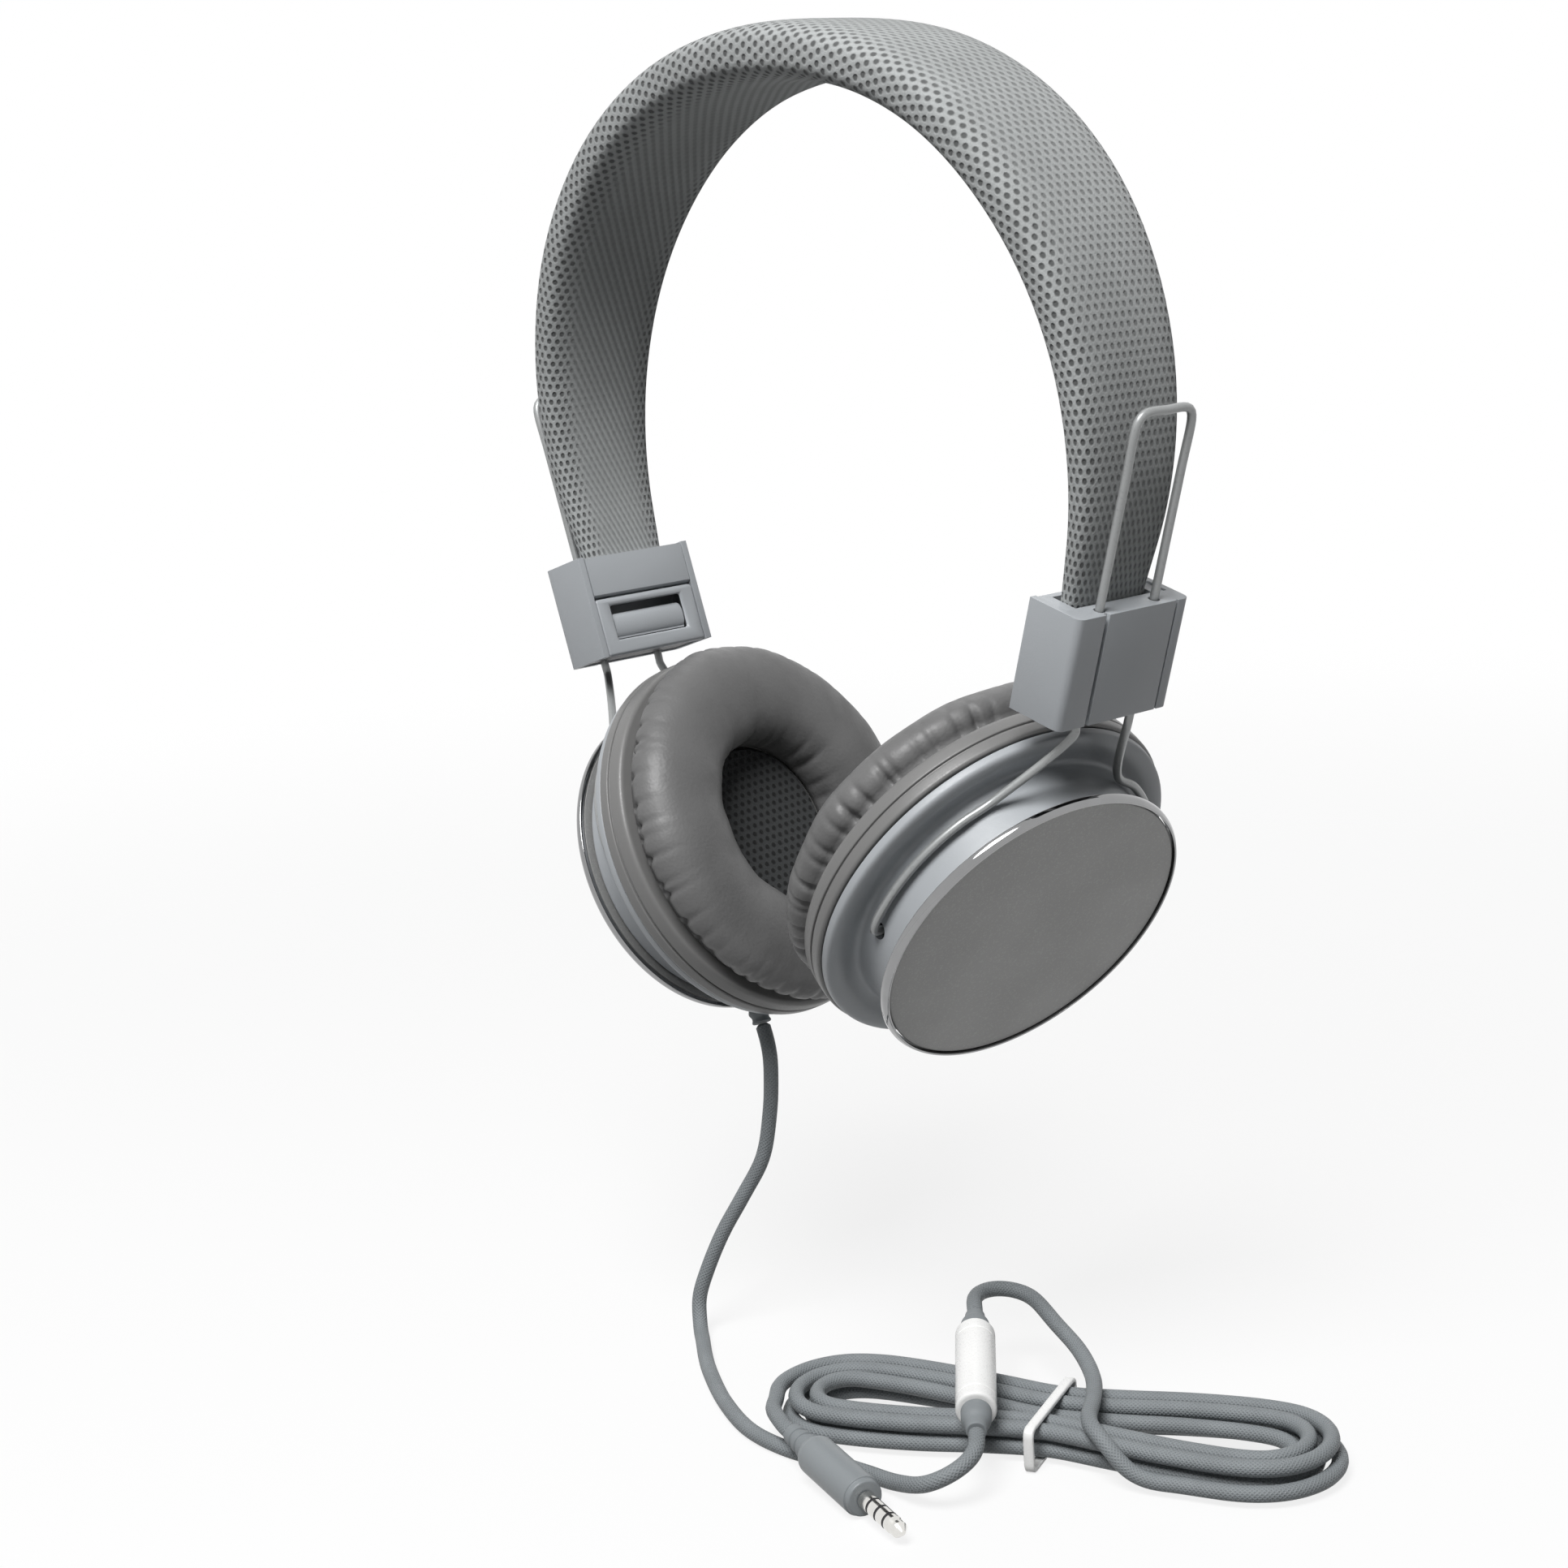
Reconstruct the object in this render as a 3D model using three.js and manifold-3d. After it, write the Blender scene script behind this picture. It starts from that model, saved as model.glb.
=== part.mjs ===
// A folding on-ear stereo headset with an inline microphone.
// Millimetres, +Z up, +X to the wearer's right cup, -Y to the front.
// The origin is the point under the crown of the headband where a head carries it.
import * as THREE from "three";
import { mergeVertices } from "three/addons/utils/BufferGeometryUtils.js";
import Module from "manifold-3d";

const wasm = await Module();
wasm.setup();

// ---- Driving dimensions -------------------------------------------------------------------
const gap = 0.3; // between two pieces that touch

// Headband: a flat crown arc, a tighter arc down each side and a straight end.
const crownRadius = 85.6;
const crownAngle = 16;
const sideRadius = 71;
const straightEnd = 9;
const seatDepth = 4.4; // of the padded band inside its end block
const bandCrownWidth = 37;
const bandEndWidth = 20.4;
const bandCrownThickness = 11.5;
const bandEndThickness = 5.2;
const crownPieceLength = 26; // stretch of the band between the two places where it bends most
const springWidth = 12;
const springThickness = 0.8;

// End block with the fold hinge.
const blockLean = 17.3;
const blockWidth = 30.3;
const blockDepth = 12.4;
const blockHeight = 21.9;
const blockWall = 1.5;
const blockOuterWall = 4.5;
const blockCorner = 1.6;
const panelThickness = 1.3;
const hingeDrop = 6.6; // of the hinge below the block's top
const hingeInset = 1.6; // of the hinge behind the block's inner face
const barrelRadius = 1.5;
const pinCover = 0.6; // of the side wall over the pin's ends
const pinRadius = 0.65;
const foldClear = 2.8; // radius round the hinge that the folding plate sweeps
const windowWidth = 19.6;
const windowHeight = 7.5;
const windowStrip = 1.7; // of the plate above its window
const guideHeight = 4.2;
const clickHeight = 4.6;
const clickDepth = 3;

// Wire yoke.
const wireRadius = 0.85;
const wireFromOuterFace = 2.3;
const legSpacing = 15;
const loopHeight = 37; // of the wire loop above the block
const loopCorner = 2.6;
const armRise = 28; // angle from the top of the cup where the arm meets the cup's waist
const armClear = 0.8; // between the arms and the drum
const pinBend = 2.2;
const legEnd = 2.6; // straight length of the legs below the block

// Cup: distances along its axis are from the pivots, outward positive.
const pivotX = 41.65;
const pivotZ = -157.1;
const armTilt = 33.4;
const cupTilt = { right: 33.4, left: 24.8 };
const toeIn = 8.3;
const drumRadius = 31;
const drumFront = 7;
const drumBack = -1.8;
const shellWall = 1.6;
const flangeRadius = 39.3;
const flangeDepth = 6.4;
const dishDepth = 3.7;
const dishValley = 2.1; // of the dish beside the drum, below the drum's edge
const dishShoulder = 1.2; // of the dish's raised rim, below the drum's edge
const capRadius = 31.9;
const capThickness = 1.5;
const trimRadius = 33.5;
const trimDepth = 2.1;
const trimBevel = 1.1;
const pivotReach = 2.2; // of the wire's end inside the drum
const pivotHole = 1.9; // wide enough for the wire's bend
const baffleThickness = 1.6;
const driverRadius = 20;
const driverDepth = 4.2;
const magnetRadius = 9.5;
const magnetDepth = 3.4;
const cushionRadius = 39.2;
const cushionHole = 17.6;
const cushionDepth = 12.2;
const cushionPinch = 2.6; // how far the sewn edge sits inside the cushion's bulge
const meshThickness = 0.9;

// Lead with its strain relief, microphone and plug.
const leadRadius = 1.6;
const reliefRadius = 2.9;
const reliefLength = 9;
const reliefSide = 3.5; // of the strain relief along the cup's axis
const reliefTurn = 9; // of the strain relief round the cup, to the front
const floorZ = -262;
const capsuleRadius = 4;
const capsuleLength = 28.6;
const capsuleReliefLength = 7;
const capsuleReliefRadius = 3;
const plugBarrelRadius = 4;
const plugBarrelLength = 21;
const plugReliefLength = 8;
const plugReliefRadius = 2.7;
const jackRadius = 1.75;
const jackLength = 14;
const jackTipLength = 3.4;
const jackNeckRadius = 1.1;
const hankCentre = [57, -11];
const hankTurn = 24;
const hankBend = 41; // from the hank's middle to the centre of each fold
const hankFold = 7.1; // radius of the innermost fold
const hankWaist = 2.2; // half the free width at the tie
const hankPitch = 4.2; // between neighbouring turns of a layer
const hankLayer = 3.8; // between the two layers
const tieWidth = 2;
const tieThickness = 0.8;

// How finely round things are divided.
const ringSteps = 32;
const bandSides = 14;
const hankSteps = 24;
const hankSides = 6;
const cordSides = 8;

// ---- Worked-out sizes ---------------------------------------------------------------------
const rad = THREE.MathUtils.degToRad;
const crownLength = crownRadius * rad(crownAngle);
const sideLength = sideRadius * rad(90 + blockLean - crownAngle);
const bandLength = crownLength + sideLength + straightEnd + seatDepth;
const crownZ = bandCrownThickness / 2;
const innerFace = -blockDepth / 2;
const outerFace = blockDepth / 2;
const blockTop = blockHeight / 2;
const blockBottom = -blockHeight / 2;
const insideWidth = blockWidth - 2 * blockWall;
const bandSeatX = innerFace + panelThickness + gap + bandEndThickness / 2;
const hingeX = innerFace + hingeInset;
const hingeZ = blockTop - hingeDrop;
const plateTop = hingeZ - foldClear;
const windowTop = plateTop - windowStrip;
const guideTop = blockBottom + guideHeight;
const wireX = outerFace - wireFromOuterFace;
const channelRadius = wireRadius + gap;
const armRadius = drumRadius + armClear + wireRadius;
const dishEnd = drumBack - dishDepth;
const flangeFront = dishEnd - gap;
const flangeEnd = flangeFront - flangeDepth;
const trimFront = drumFront + gap + trimDepth;
const pinBore = pinRadius + gap;
const reliefStart = drumRadius - shellWall;
const reliefEnd = reliefStart + reliefLength;
const leadFloor = floorZ + leadRadius;
const hankFloor = floorZ + tieThickness + gap + leadRadius;
const hankTop = hankFloor + hankLayer;

// ---- Geometry helpers ---------------------------------------------------------------------
const v3 = (x, y, z) => new THREE.Vector3(x, y, z);

// Turns a closed mesh into a solid, with its faces made to point out.
function solid(geometry) {
  const bare = geometry.clone();
  bare.deleteAttribute("normal");
  bare.deleteAttribute("uv");
  const merged = mergeVertices(bare, 1e-4);
  const points = merged.getAttribute("position").array;
  const corners = Array.from(merged.getIndex().array);
  const kept = [];
  for (let i = 0; i < corners.length; i += 3) {
    const [a, b, c] = corners.slice(i, i + 3);
    if (a !== b && b !== c && c !== a) kept.push(a, b, c);
  }
  if (signedVolume(points, kept) < 0) kept.reverse();
  const mesh = { numProp: 3, vertProperties: new Float32Array(points), triVerts: new Uint32Array(kept) };
  return new wasm.Manifold(new wasm.Mesh(mesh));
}

function signedVolume(points, corners) {
  let total = 0;
  const at = (i) => new THREE.Vector3().fromArray(points, 3 * i);
  for (let i = 0; i < corners.length; i += 3) {
    total += at(corners[i]).dot(at(corners[i + 1]).cross(at(corners[i + 2])));
  }
  return total / 6;
}

function geometryOf(shape) {
  const mesh = shape.getMesh();
  const geometry = new THREE.BufferGeometry();
  geometry.setAttribute("position", new THREE.BufferAttribute(new Float32Array(mesh.vertProperties), 3));
  geometry.setIndex(new THREE.BufferAttribute(new Uint32Array(mesh.triVerts), 1));
  geometry.computeVertexNormals();
  return geometry;
}

// Skins a row of rings of points, each with as many points, and closes both ends.
function loft(rings, joined = false) {
  const count = rings[0].length;
  const points = rings.flat().flatMap((p) => p.toArray());
  const faces = [];
  const last = joined ? rings.length : rings.length - 1;
  for (let i = 0; i < last; i += 1) {
    const next = (i + 1) % rings.length;
    for (let j = 0; j < count; j += 1) {
      const k = (j + 1) % count;
      const [a, b, c, d] = [i * count + j, i * count + k, next * count + k, next * count + j];
      faces.push(a, b, c, a, c, d);
    }
  }
  if (!joined) {
    const end = (rings.length - 1) * count;
    for (let j = 1; j < count - 1; j += 1) faces.push(0, j + 1, j, end, end + j, end + j + 1);
  }
  const geometry = new THREE.BufferGeometry();
  geometry.setAttribute("position", new THREE.Float32BufferAttribute(points, 3));
  geometry.setIndex(faces);
  return solid(geometry);
}

// A box between two corners.
function box(x0, x1, y0, y1, z0, z1) {
  const geometry = new THREE.BoxGeometry(x1 - x0, y1 - y0, z1 - z0);
  return solid(geometry.translate((x0 + x1) / 2, (y0 + y1) / 2, (z0 + z1) / 2));
}

// A round bar or cone from one point to another.
function bar(from, to, radius, endRadius = radius, sides = 16) {
  const way = to.clone().sub(from);
  const geometry = new THREE.CylinderGeometry(endRadius, radius, way.length(), sides);
  geometry.applyQuaternion(new THREE.Quaternion().setFromUnitVectors(v3(0, 1, 0), way.clone().normalize()));
  const middle = from.clone().lerp(to, 0.5);
  return solid(geometry.translate(middle.x, middle.y, middle.z));
}

// Turns a closed outline of [distance along the axis, radius] about the X axis.
function turned(outline, steps = ringSteps) {
  const points = outline.map(([along, radius]) => new THREE.Vector2(Math.max(radius, 0), along));
  const closed = outline[0][1] > 0 ? [...points, points[0]] : points;
  return solid(new THREE.LatheGeometry(closed, steps).rotateZ(-Math.PI / 2));
}

// A round tube along a curve.
function tube(curve, radius, steps, sides = cordSides) {
  const section = new THREE.Shape();
  for (let i = 0; i < sides; i += 1) {
    const a = (i * 2 * Math.PI) / sides;
    if (i === 0) section.moveTo(radius, 0);
    else section.lineTo(radius * Math.cos(a), radius * Math.sin(a));
  }
  return solid(new THREE.ExtrudeGeometry(section, { steps, extrudePath: curve, curveSegments: 1 }));
}

// A flat plate cut to a shape in X and Y, standing from z0 to z1.
function prism(shape, z0, z1) {
  const geometry = new THREE.ExtrudeGeometry(shape, { depth: z1 - z0, bevelEnabled: false, curveSegments: 4 });
  return solid(geometry.translate(0, 0, z0));
}

function place(shape, name, parent, material) {
  const mesh = new THREE.Mesh(geometryOf(shape), material);
  mesh.name = name;
  parent.add(mesh);
  return mesh;
}

// ---- Materials ----------------------------------------------------------------------------
const finish = (color, roughness, metalness) => new THREE.MeshStandardMaterial({ color, roughness, metalness });
const fabric = () => finish(0x7a8081, 0.9, 0);
const leatherette = () => finish(0x6d6c6c, 0.5, 0);
const greyPlastic = () => finish(0x85898d, 0.45, 0);
const darkPlastic = () => finish(0x1d1d1f, 0.5, 0);
const satinGrey = () => finish(0x76777a, 0.38, 0.35);
const chrome = () => finish(0xe4e6e8, 0.08, 1);
const steel = () => finish(0x8d9092, 0.32, 1);
const wirePaint = () => finish(0x7e8586, 0.4, 0.3);
const greyCord = () => finish(0x7f868b, 0.6, 0);
const whitePlastic = () => finish(0xf1f1f0, 0.4, 0);
const darkMesh = () => finish(0x3b4144, 0.95, 0);

// ---- Headband -----------------------------------------------------------------------------
// The point of the band's middle line at a distance from the crown, with its outward normal.
function bandAt(distance) {
  const side = Math.sign(distance) || 1;
  const run = Math.abs(distance);
  const inCrown = Math.min(run, crownLength) / crownRadius;
  const inSide = THREE.MathUtils.clamp(run - crownLength, 0, sideLength) / sideRadius;
  const inEnd = Math.max(run - crownLength - sideLength, 0);
  const bend = inCrown + inSide;
  const shift = crownRadius - sideRadius;
  const x = shift * Math.sin(inCrown) + sideRadius * Math.sin(bend) + inEnd * Math.cos(bend);
  const z = crownZ - shift * (1 - Math.cos(inCrown)) - sideRadius * (1 - Math.cos(bend)) - inEnd * Math.sin(bend);
  return { point: v3(side * x, 0, z), out: v3(side * Math.sin(bend), 0, Math.cos(bend)) };
}

// A rounded section across the band, squarer than an ellipse.
function bandRing(distance, width, thickness) {
  const { point, out } = bandAt(distance);
  const squareness = 2 / 3.5;
  return Array.from({ length: bandSides }, (_, i) => {
    const a = (i * 2 * Math.PI) / bandSides;
    const across = Math.sign(Math.cos(a)) * Math.abs(Math.cos(a)) ** squareness * (width / 2);
    const through = Math.sign(Math.sin(a)) * Math.abs(Math.sin(a)) ** squareness * (thickness / 2);
    return point.clone().addScaledVector(out, through).add(v3(0, across, 0));
  });
}

function stripRing(distance, width, thickness) {
  const { point, out } = bandAt(distance);
  const corners = [[1, 1], [-1, 1], [-1, -1], [1, -1]];
  return corners.map(([across, through]) => point.clone()
    .addScaledVector(out, (through * thickness) / 2)
    .add(v3(0, (across * width) / 2, 0)));
}

function bandRun(from, to, step, ring) {
  const count = Math.max(2, Math.round(Math.abs(to - from) / step));
  return loft(Array.from({ length: count + 1 }, (_, i) => ring(from + ((to - from) * i) / count)));
}

function bandPiece(from, to) {
  const cover = bandRun(from, to, 9, (d) => {
    const down = Math.min(Math.abs(d) / (bandLength - seatDepth - gap), 1) ** 2;
    const width = THREE.MathUtils.lerp(bandCrownWidth, bandEndWidth, down);
    return bandRing(d, width, THREE.MathUtils.lerp(bandCrownThickness, bandEndThickness, down));
  });
  const reach = Math.sign(to - from);
  const sleeve = (d) => stripRing(d, springWidth + 2 * gap, springThickness + 2 * gap);
  const slot = bandRun(from - reach, to + reach, 9, sleeve);
  return cover.subtract(slot);
}

const springRun = (from, to) => bandRun(from, to, 9, (d) => stripRing(d, springWidth, springThickness));

// ---- End block ----------------------------------------------------------------------------
// The block's own axes: +X out of its outer face, +Z up along the band's straight end.
function blockFrame() {
  const top = bandAt(bandLength - seatDepth);
  const frame = new THREE.Group();
  frame.position.copy(top.point);
  frame.rotation.y = rad(blockLean);
  frame.translateX(-bandSeatX);
  frame.translateZ(-blockTop);
  frame.updateMatrixWorld(true);
  return frame;
}

const acrossBlock = (x0, x1, width, z0, z1) => box(x0, x1, -width / 2, width / 2, z0, z1);
const hingeBar = (from, to, radius, sides) => bar(v3(hingeX, from, hingeZ), v3(hingeX, to, hingeZ), radius, radius, sides);
const legBar = (y, z0, z1, radius) => bar(v3(wireX, y, z0), v3(wireX, y, z1), radius, radius, 10);

// The hinge runs behind the panel, whose foot is rounded about it.
function bandEnd() {
  const width = insideWidth - 2 * gap;
  const back = outerFace - blockOuterWall - gap;
  const lower = hingeZ + 0.7;
  const pocketFloor = hingeZ + 2;
  const pocketBack = innerFace + panelThickness + bandEndThickness + 2 * gap;
  const pocketWidth = bandEndWidth + 2 * gap;
  const foot = acrossBlock(innerFace, hingeX, width, hingeZ - foldClear, lower + gap)
    .intersect(hingeBar(-width / 2, width / 2, foldClear - gap, 32));
  return acrossBlock(innerFace, back, width, lower, blockTop - gap)
    .subtract(acrossBlock(innerFace + panelThickness, pocketBack, pocketWidth, pocketFloor, blockTop))
    .add(foot)
    .add(hingeBar(-width / 2, width / 2, barrelRadius))
    .subtract(hingeBar(-width, width, pinBore));
}

function housingOutline() {
  const [x0, x1, y] = [innerFace, outerFace, blockWidth / 2];
  const shape = new THREE.Shape();
  shape.moveTo(x0, -y);
  shape.lineTo(x1 - blockCorner, -y);
  shape.absarc(x1 - blockCorner, -y + blockCorner, blockCorner, -Math.PI / 2, 0, false);
  shape.absarc(x1 - blockCorner, y - blockCorner, blockCorner, 0, Math.PI / 2, false);
  shape.lineTo(x0, y);
  return shape;
}

function foldHousing() {
  const thin = outerFace - blockWall;
  const beyond = 1;
  const inside = acrossBlock(innerFace - beyond, outerFace - blockOuterWall, insideWidth,
    blockBottom - beyond, blockTop + beyond);
  const low = acrossBlock(innerFace, thin, insideWidth, blockBottom - beyond, guideTop);
  const legs = [-1, 1].map((side) => {
    const y = (side * legSpacing) / 2;
    return legBar(y, blockBottom - beyond, blockTop + beyond, channelRadius);
  });
  return prism(housingOutline(), blockBottom, blockTop)
    .subtract(inside)
    .subtract(low)
    .subtract(legs[0])
    .subtract(legs[1])
    .subtract(hingeBar(-blockWidth / 2 + pinCover, blockWidth / 2 - pinCover, pinBore));
}

const hingePin = () => hingeBar(-blockWidth / 2 + pinCover + gap, blockWidth / 2 - pinCover - gap, pinRadius);

function hingePlate() {
  const width = insideWidth - 2 * gap;
  const back = innerFace + panelThickness;
  const windowBottom = windowTop - windowHeight;
  return acrossBlock(innerFace, back, width, blockBottom, plateTop)
    .subtract(acrossBlock(innerFace - 1, back + 1, windowWidth, windowBottom, windowTop));
}

function clickPlate() {
  const front = innerFace + panelThickness + gap;
  const shape = new THREE.Shape();
  const base = guideTop + gap;
  shape.moveTo(front + clickDepth, base);
  shape.lineTo(front + clickDepth, base + clickHeight);
  shape.quadraticCurveTo(front - clickDepth / 3, base + clickHeight * 0.75, front + clickDepth / 6, base);
  const width = windowWidth + 2;
  const geometry = new THREE.ExtrudeGeometry(shape, { depth: width, bevelEnabled: false, curveSegments: 6 });
  return solid(geometry.rotateX(Math.PI / 2).translate(0, width / 2, 0));
}

function wireGuide() {
  const inner = innerFace + panelThickness + gap;
  const outer = outerFace - blockWall - gap;
  const width = insideWidth - 2 * gap;
  const legs = [-1, 1].map((side) => {
    const y = (side * legSpacing) / 2;
    return legBar(y, blockBottom - 1, guideTop + 1, channelRadius);
  });
  return acrossBlock(inner, outer, width, blockBottom + gap, guideTop - gap).subtract(legs[0]).subtract(legs[1]);
}

// ---- Wire yoke ----------------------------------------------------------------------------
// The loop above the block, both legs through it, and the arms round the cup's waist.
function wireYoke(block, toe) {
  const leg = (y, z) => v3(wireX, y, z).applyMatrix4(block.matrixWorld);
  const turn = new THREE.Euler(0, rad(armTilt), -rad(toe), "ZYX");
  const pivot = v3(pivotX, 0, pivotZ);
  const around = (side, angle, radius = armRadius) => v3(0, side * Math.sin(rad(angle)), Math.cos(rad(angle)))
    .multiplyScalar(radius).applyEuler(turn).add(pivot);
  const half = legSpacing / 2;
  const top = blockTop + loopHeight;
  const side = (s) => {
    const corner = [80, 45, 10].map((a) => leg(
      s * (half - loopCorner + loopCorner * Math.sin(rad(a))),
      top - loopCorner + loopCorner * Math.cos(rad(a)),
    )).reverse();
    const heights = [top - 12, blockTop, 0, blockBottom + 2, blockBottom - wireRadius, blockBottom - legEnd];
    const down = heights.map((z) => leg(s * half, z));
    const arm = [armRise, 40, 52, 64, 76, 86].map((a) => around(s, a));
    const end = [
      around(s, 90, armRadius - pinBend / 3),
      around(s, 90, armRadius - pinBend),
      around(s, 90, drumRadius - pivotReach),
    ];
    return [...corner, ...down, ...arm, ...end];
  };
  const points = [...side(-1).reverse(), leg(0, top), ...side(1)];
  const curve = new THREE.CatmullRomCurve3(points, false, "centripetal");
  return tube(curve, wireRadius, 80, 6);
}

// ---- Cup ----------------------------------------------------------------------------------
function cupShell(withLead) {
  const lip = flangeRadius - 0.6;
  const valley = drumBack - dishValley;
  const shoulder = drumBack - dishShoulder;
  const outline = [
    [drumFront, 0], [drumFront, drumRadius - 0.8], [drumFront - 0.8, drumRadius], [drumBack, drumRadius],
    [valley + 0.3, drumRadius + 0.6], [valley, drumRadius + 2], [shoulder, lip - 2.9], [shoulder - 0.3, lip - 1.1],
    [dishEnd + 0.9, lip], [dishEnd, lip], [dishEnd, lip - shellWall], [shoulder - shellWall, lip - 2.7],
    [valley - 1.3, drumRadius + 2.2], [valley - 1.1, drumRadius], [drumBack - shellWall, drumRadius - shellWall],
    [drumFront - shellWall, drumRadius - shellWall], [drumFront - shellWall, 0],
  ];
  let shell = turned(outline);
  for (const side of [-1, 1]) {
    const deep = side * (drumRadius - 2 * shellWall);
    shell = shell.subtract(bar(v3(0, deep, 0), v3(0, side * (drumRadius + 1), 0), pivotHole));
  }
  if (withLead) shell = shell.subtract(reliefBar(drumRadius - 2 * shellWall, drumRadius + 1, reliefRadius + gap));
  return shell;
}

function capFace() {
  const back = drumFront + gap;
  return turned([[back, 0], [back + capThickness, 0], [back + capThickness, capRadius - 0.4],
    [back + capThickness - 0.4, capRadius], [back, capRadius]].reverse());
}

function trimRing() {
  const back = drumFront + gap;
  const inner = capRadius + gap;
  return turned([[back, inner], [back, trimRadius], [trimFront - trimBevel, trimRadius], [trimFront, inner]]);
}

// The flange ring round the cup, with the plate that carries the driver.
function baffleRing() {
  const wall = 1.8;
  const plate = flangeEnd + baffleThickness;
  const seat = driverRadius + gap;
  return turned([
    [flangeFront, flangeRadius - wall], [flangeFront, flangeRadius], [flangeEnd + 0.6, flangeRadius],
    [flangeEnd, flangeRadius - 0.6], [flangeEnd, seat - 2], [plate, seat - 2], [plate, seat],
    [plate + 1.6, seat], [plate + 1.6, seat + 1.4], [plate, seat + 1.4], [plate, flangeRadius - wall],
  ]);
}

function driverFrame() {
  const front = flangeEnd + baffleThickness + gap;
  const back = front + driverDepth;
  return turned([[front, 0], [front + 1, 9], [front, 13], [front, driverRadius], [front + 1.4, driverRadius],
    [back - 0.6, magnetRadius + 4], [back, magnetRadius + 2], [back, 0]].reverse(), 24);
}

function driverMagnet() {
  const front = flangeEnd + baffleThickness + driverDepth + 2 * gap;
  return turned([[front, 0], [front, magnetRadius], [front + magnetDepth, magnetRadius], [front + magnetDepth, 0]], 20);
}

// A ring cushion: crowned on its face, drawn in at the sewn edge and rounded into the hole.
function earCushion() {
  const back = flangeEnd - gap;
  const crown = back - cushionDepth;
  const outline = [
    [back, cushionHole + 0.8], [back, cushionRadius - cushionPinch], [back - 1.2, cushionRadius - cushionPinch],
    [back - 2.6, cushionRadius - 0.7], [back - 4.8, cushionRadius], [back - 7.6, cushionRadius - 0.9],
    [back - 10, cushionRadius - 3.2], [back - 11.6, cushionRadius - 6.6], [crown, cushionRadius - 10.8],
    [back - 11.6, cushionHole + 6.2], [back - 10, cushionHole + 2.8], [back - 7.4, cushionHole + 0.7],
    [back - 4, cushionHole],
  ];
  return turned(outline, 36);
}

function earMesh() {
  const front = flangeEnd - gap;
  const radius = cushionHole - gap;
  return turned([[front, 0], [front, radius], [front - meshThickness, radius], [front - meshThickness, 0]], 24);
}

// Where the lead leaves the left cup, at a distance from the cup's axis.
const leadWay = (out) => v3(reliefSide, out * Math.sin(rad(reliefTurn)), -out * Math.cos(rad(reliefTurn)));

function reliefBar(from, to, radius, endRadius = radius) {
  return bar(leadWay(from), leadWay(to), radius, endRadius, 12);
}

const leadRelief = () => reliefBar(reliefStart, reliefEnd, reliefRadius, leadRadius + 0.5);

// ---- The two sides ------------------------------------------------------------------------
// Both are built as the right side; the left one is turned half round, with its toe-in reversed.
const cupGroups = {};

function addSide(name, parent) {
  const toe = name === "right" ? toeIn : -toeIn;
  const side = new THREE.Group();
  side.rotation.z = name === "right" ? 0 : Math.PI;
  parent.add(side);
  const start = crownPieceLength / 2 + gap;
  place(bandPiece(start, bandLength), `band_cover_${name}`, side, fabric());
  place(springRun(start, bandLength), `band_spring_${name}`, side, steel());
  const block = blockFrame();
  side.add(block);
  place(bandEnd(), `band_end_${name}`, block, greyPlastic());
  place(hingePin(), `hinge_pin_${name}`, block, steel());
  place(foldHousing(), `fold_housing_${name}`, block, greyPlastic());
  place(hingePlate(), `hinge_plate_${name}`, block, greyPlastic());
  place(clickPlate(), `click_plate_${name}`, block, greyPlastic());
  place(wireGuide(), `wire_guide_${name}`, block, darkPlastic());
  place(wireYoke(blockFrame(), toe), `wire_yoke_${name}`, side, wirePaint());
  const cup = new THREE.Group();
  cup.position.set(pivotX, 0, pivotZ);
  cup.rotation.set(0, rad(cupTilt[name]), -rad(toe), "ZYX");
  side.add(cup);
  place(cupShell(name === "left"), `cup_shell_${name}`, cup, greyPlastic());
  place(capFace(), `cap_face_${name}`, cup, satinGrey());
  place(trimRing(), `trim_ring_${name}`, cup, chrome());
  place(baffleRing(), `baffle_ring_${name}`, cup, greyPlastic());
  place(driverFrame(), `driver_frame_${name}`, cup, darkPlastic());
  place(driverMagnet(), `driver_magnet_${name}`, cup, steel());
  place(earCushion(), `ear_cushion_${name}`, cup, leatherette());
  place(earMesh(), `ear_mesh_${name}`, cup, darkMesh());
  cupGroups[name] = cup;
}

// ---- Lead ---------------------------------------------------------------------------------
// Points of each stretch as it hangs and lies, chosen by hand. Heights are given above the floor.
const atFloor = (list) => list.map(([x, y, up]) => v3(x, y, floorZ + up));
const micNear = [58.8, -33.3, 11.2];
const micFar = [24.8, 2.2, 17.8];
const plugRear = [23.9, -48.6, 6.1];
const plugFront = [51.8, -56.4, 4];
const dropPoints = atFloor([[-25.9, -4.5, 62.2], [-26.3, -4.3, 56.5], [-27.5, -4.1, 49.5],
  [-29.6, -5.2, 39], [-33.2, -8.4, 30.4], [-36.4, -11.9, 22.6], [-38.9, -14.7, 14.7],
  [-40.2, -16.5, 8.6], [-39.8, -17.3, 5.7], [-38.7, -18.2, 3.5], [-37.1, -19.5, 2.1]]);
const runPoints = atFloor([[-27, -27.1, 1.6], [-19.8, -32.1, 1.6], [-4.7, -40.9, 1.6],
  [9, -46.4, 1.6], [20, -47.5, 1.6], [32, -46, 1.6], [41, -45.2, 1.7], [49, -45.9, 2.6],
  [56.6, -46.6, 4.6], [59.8, -45.7, 6], [62.2, -43.4, 7.6], [63.1, -40.2, 9.1], [62.6, -37.9, 10]]);
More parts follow.
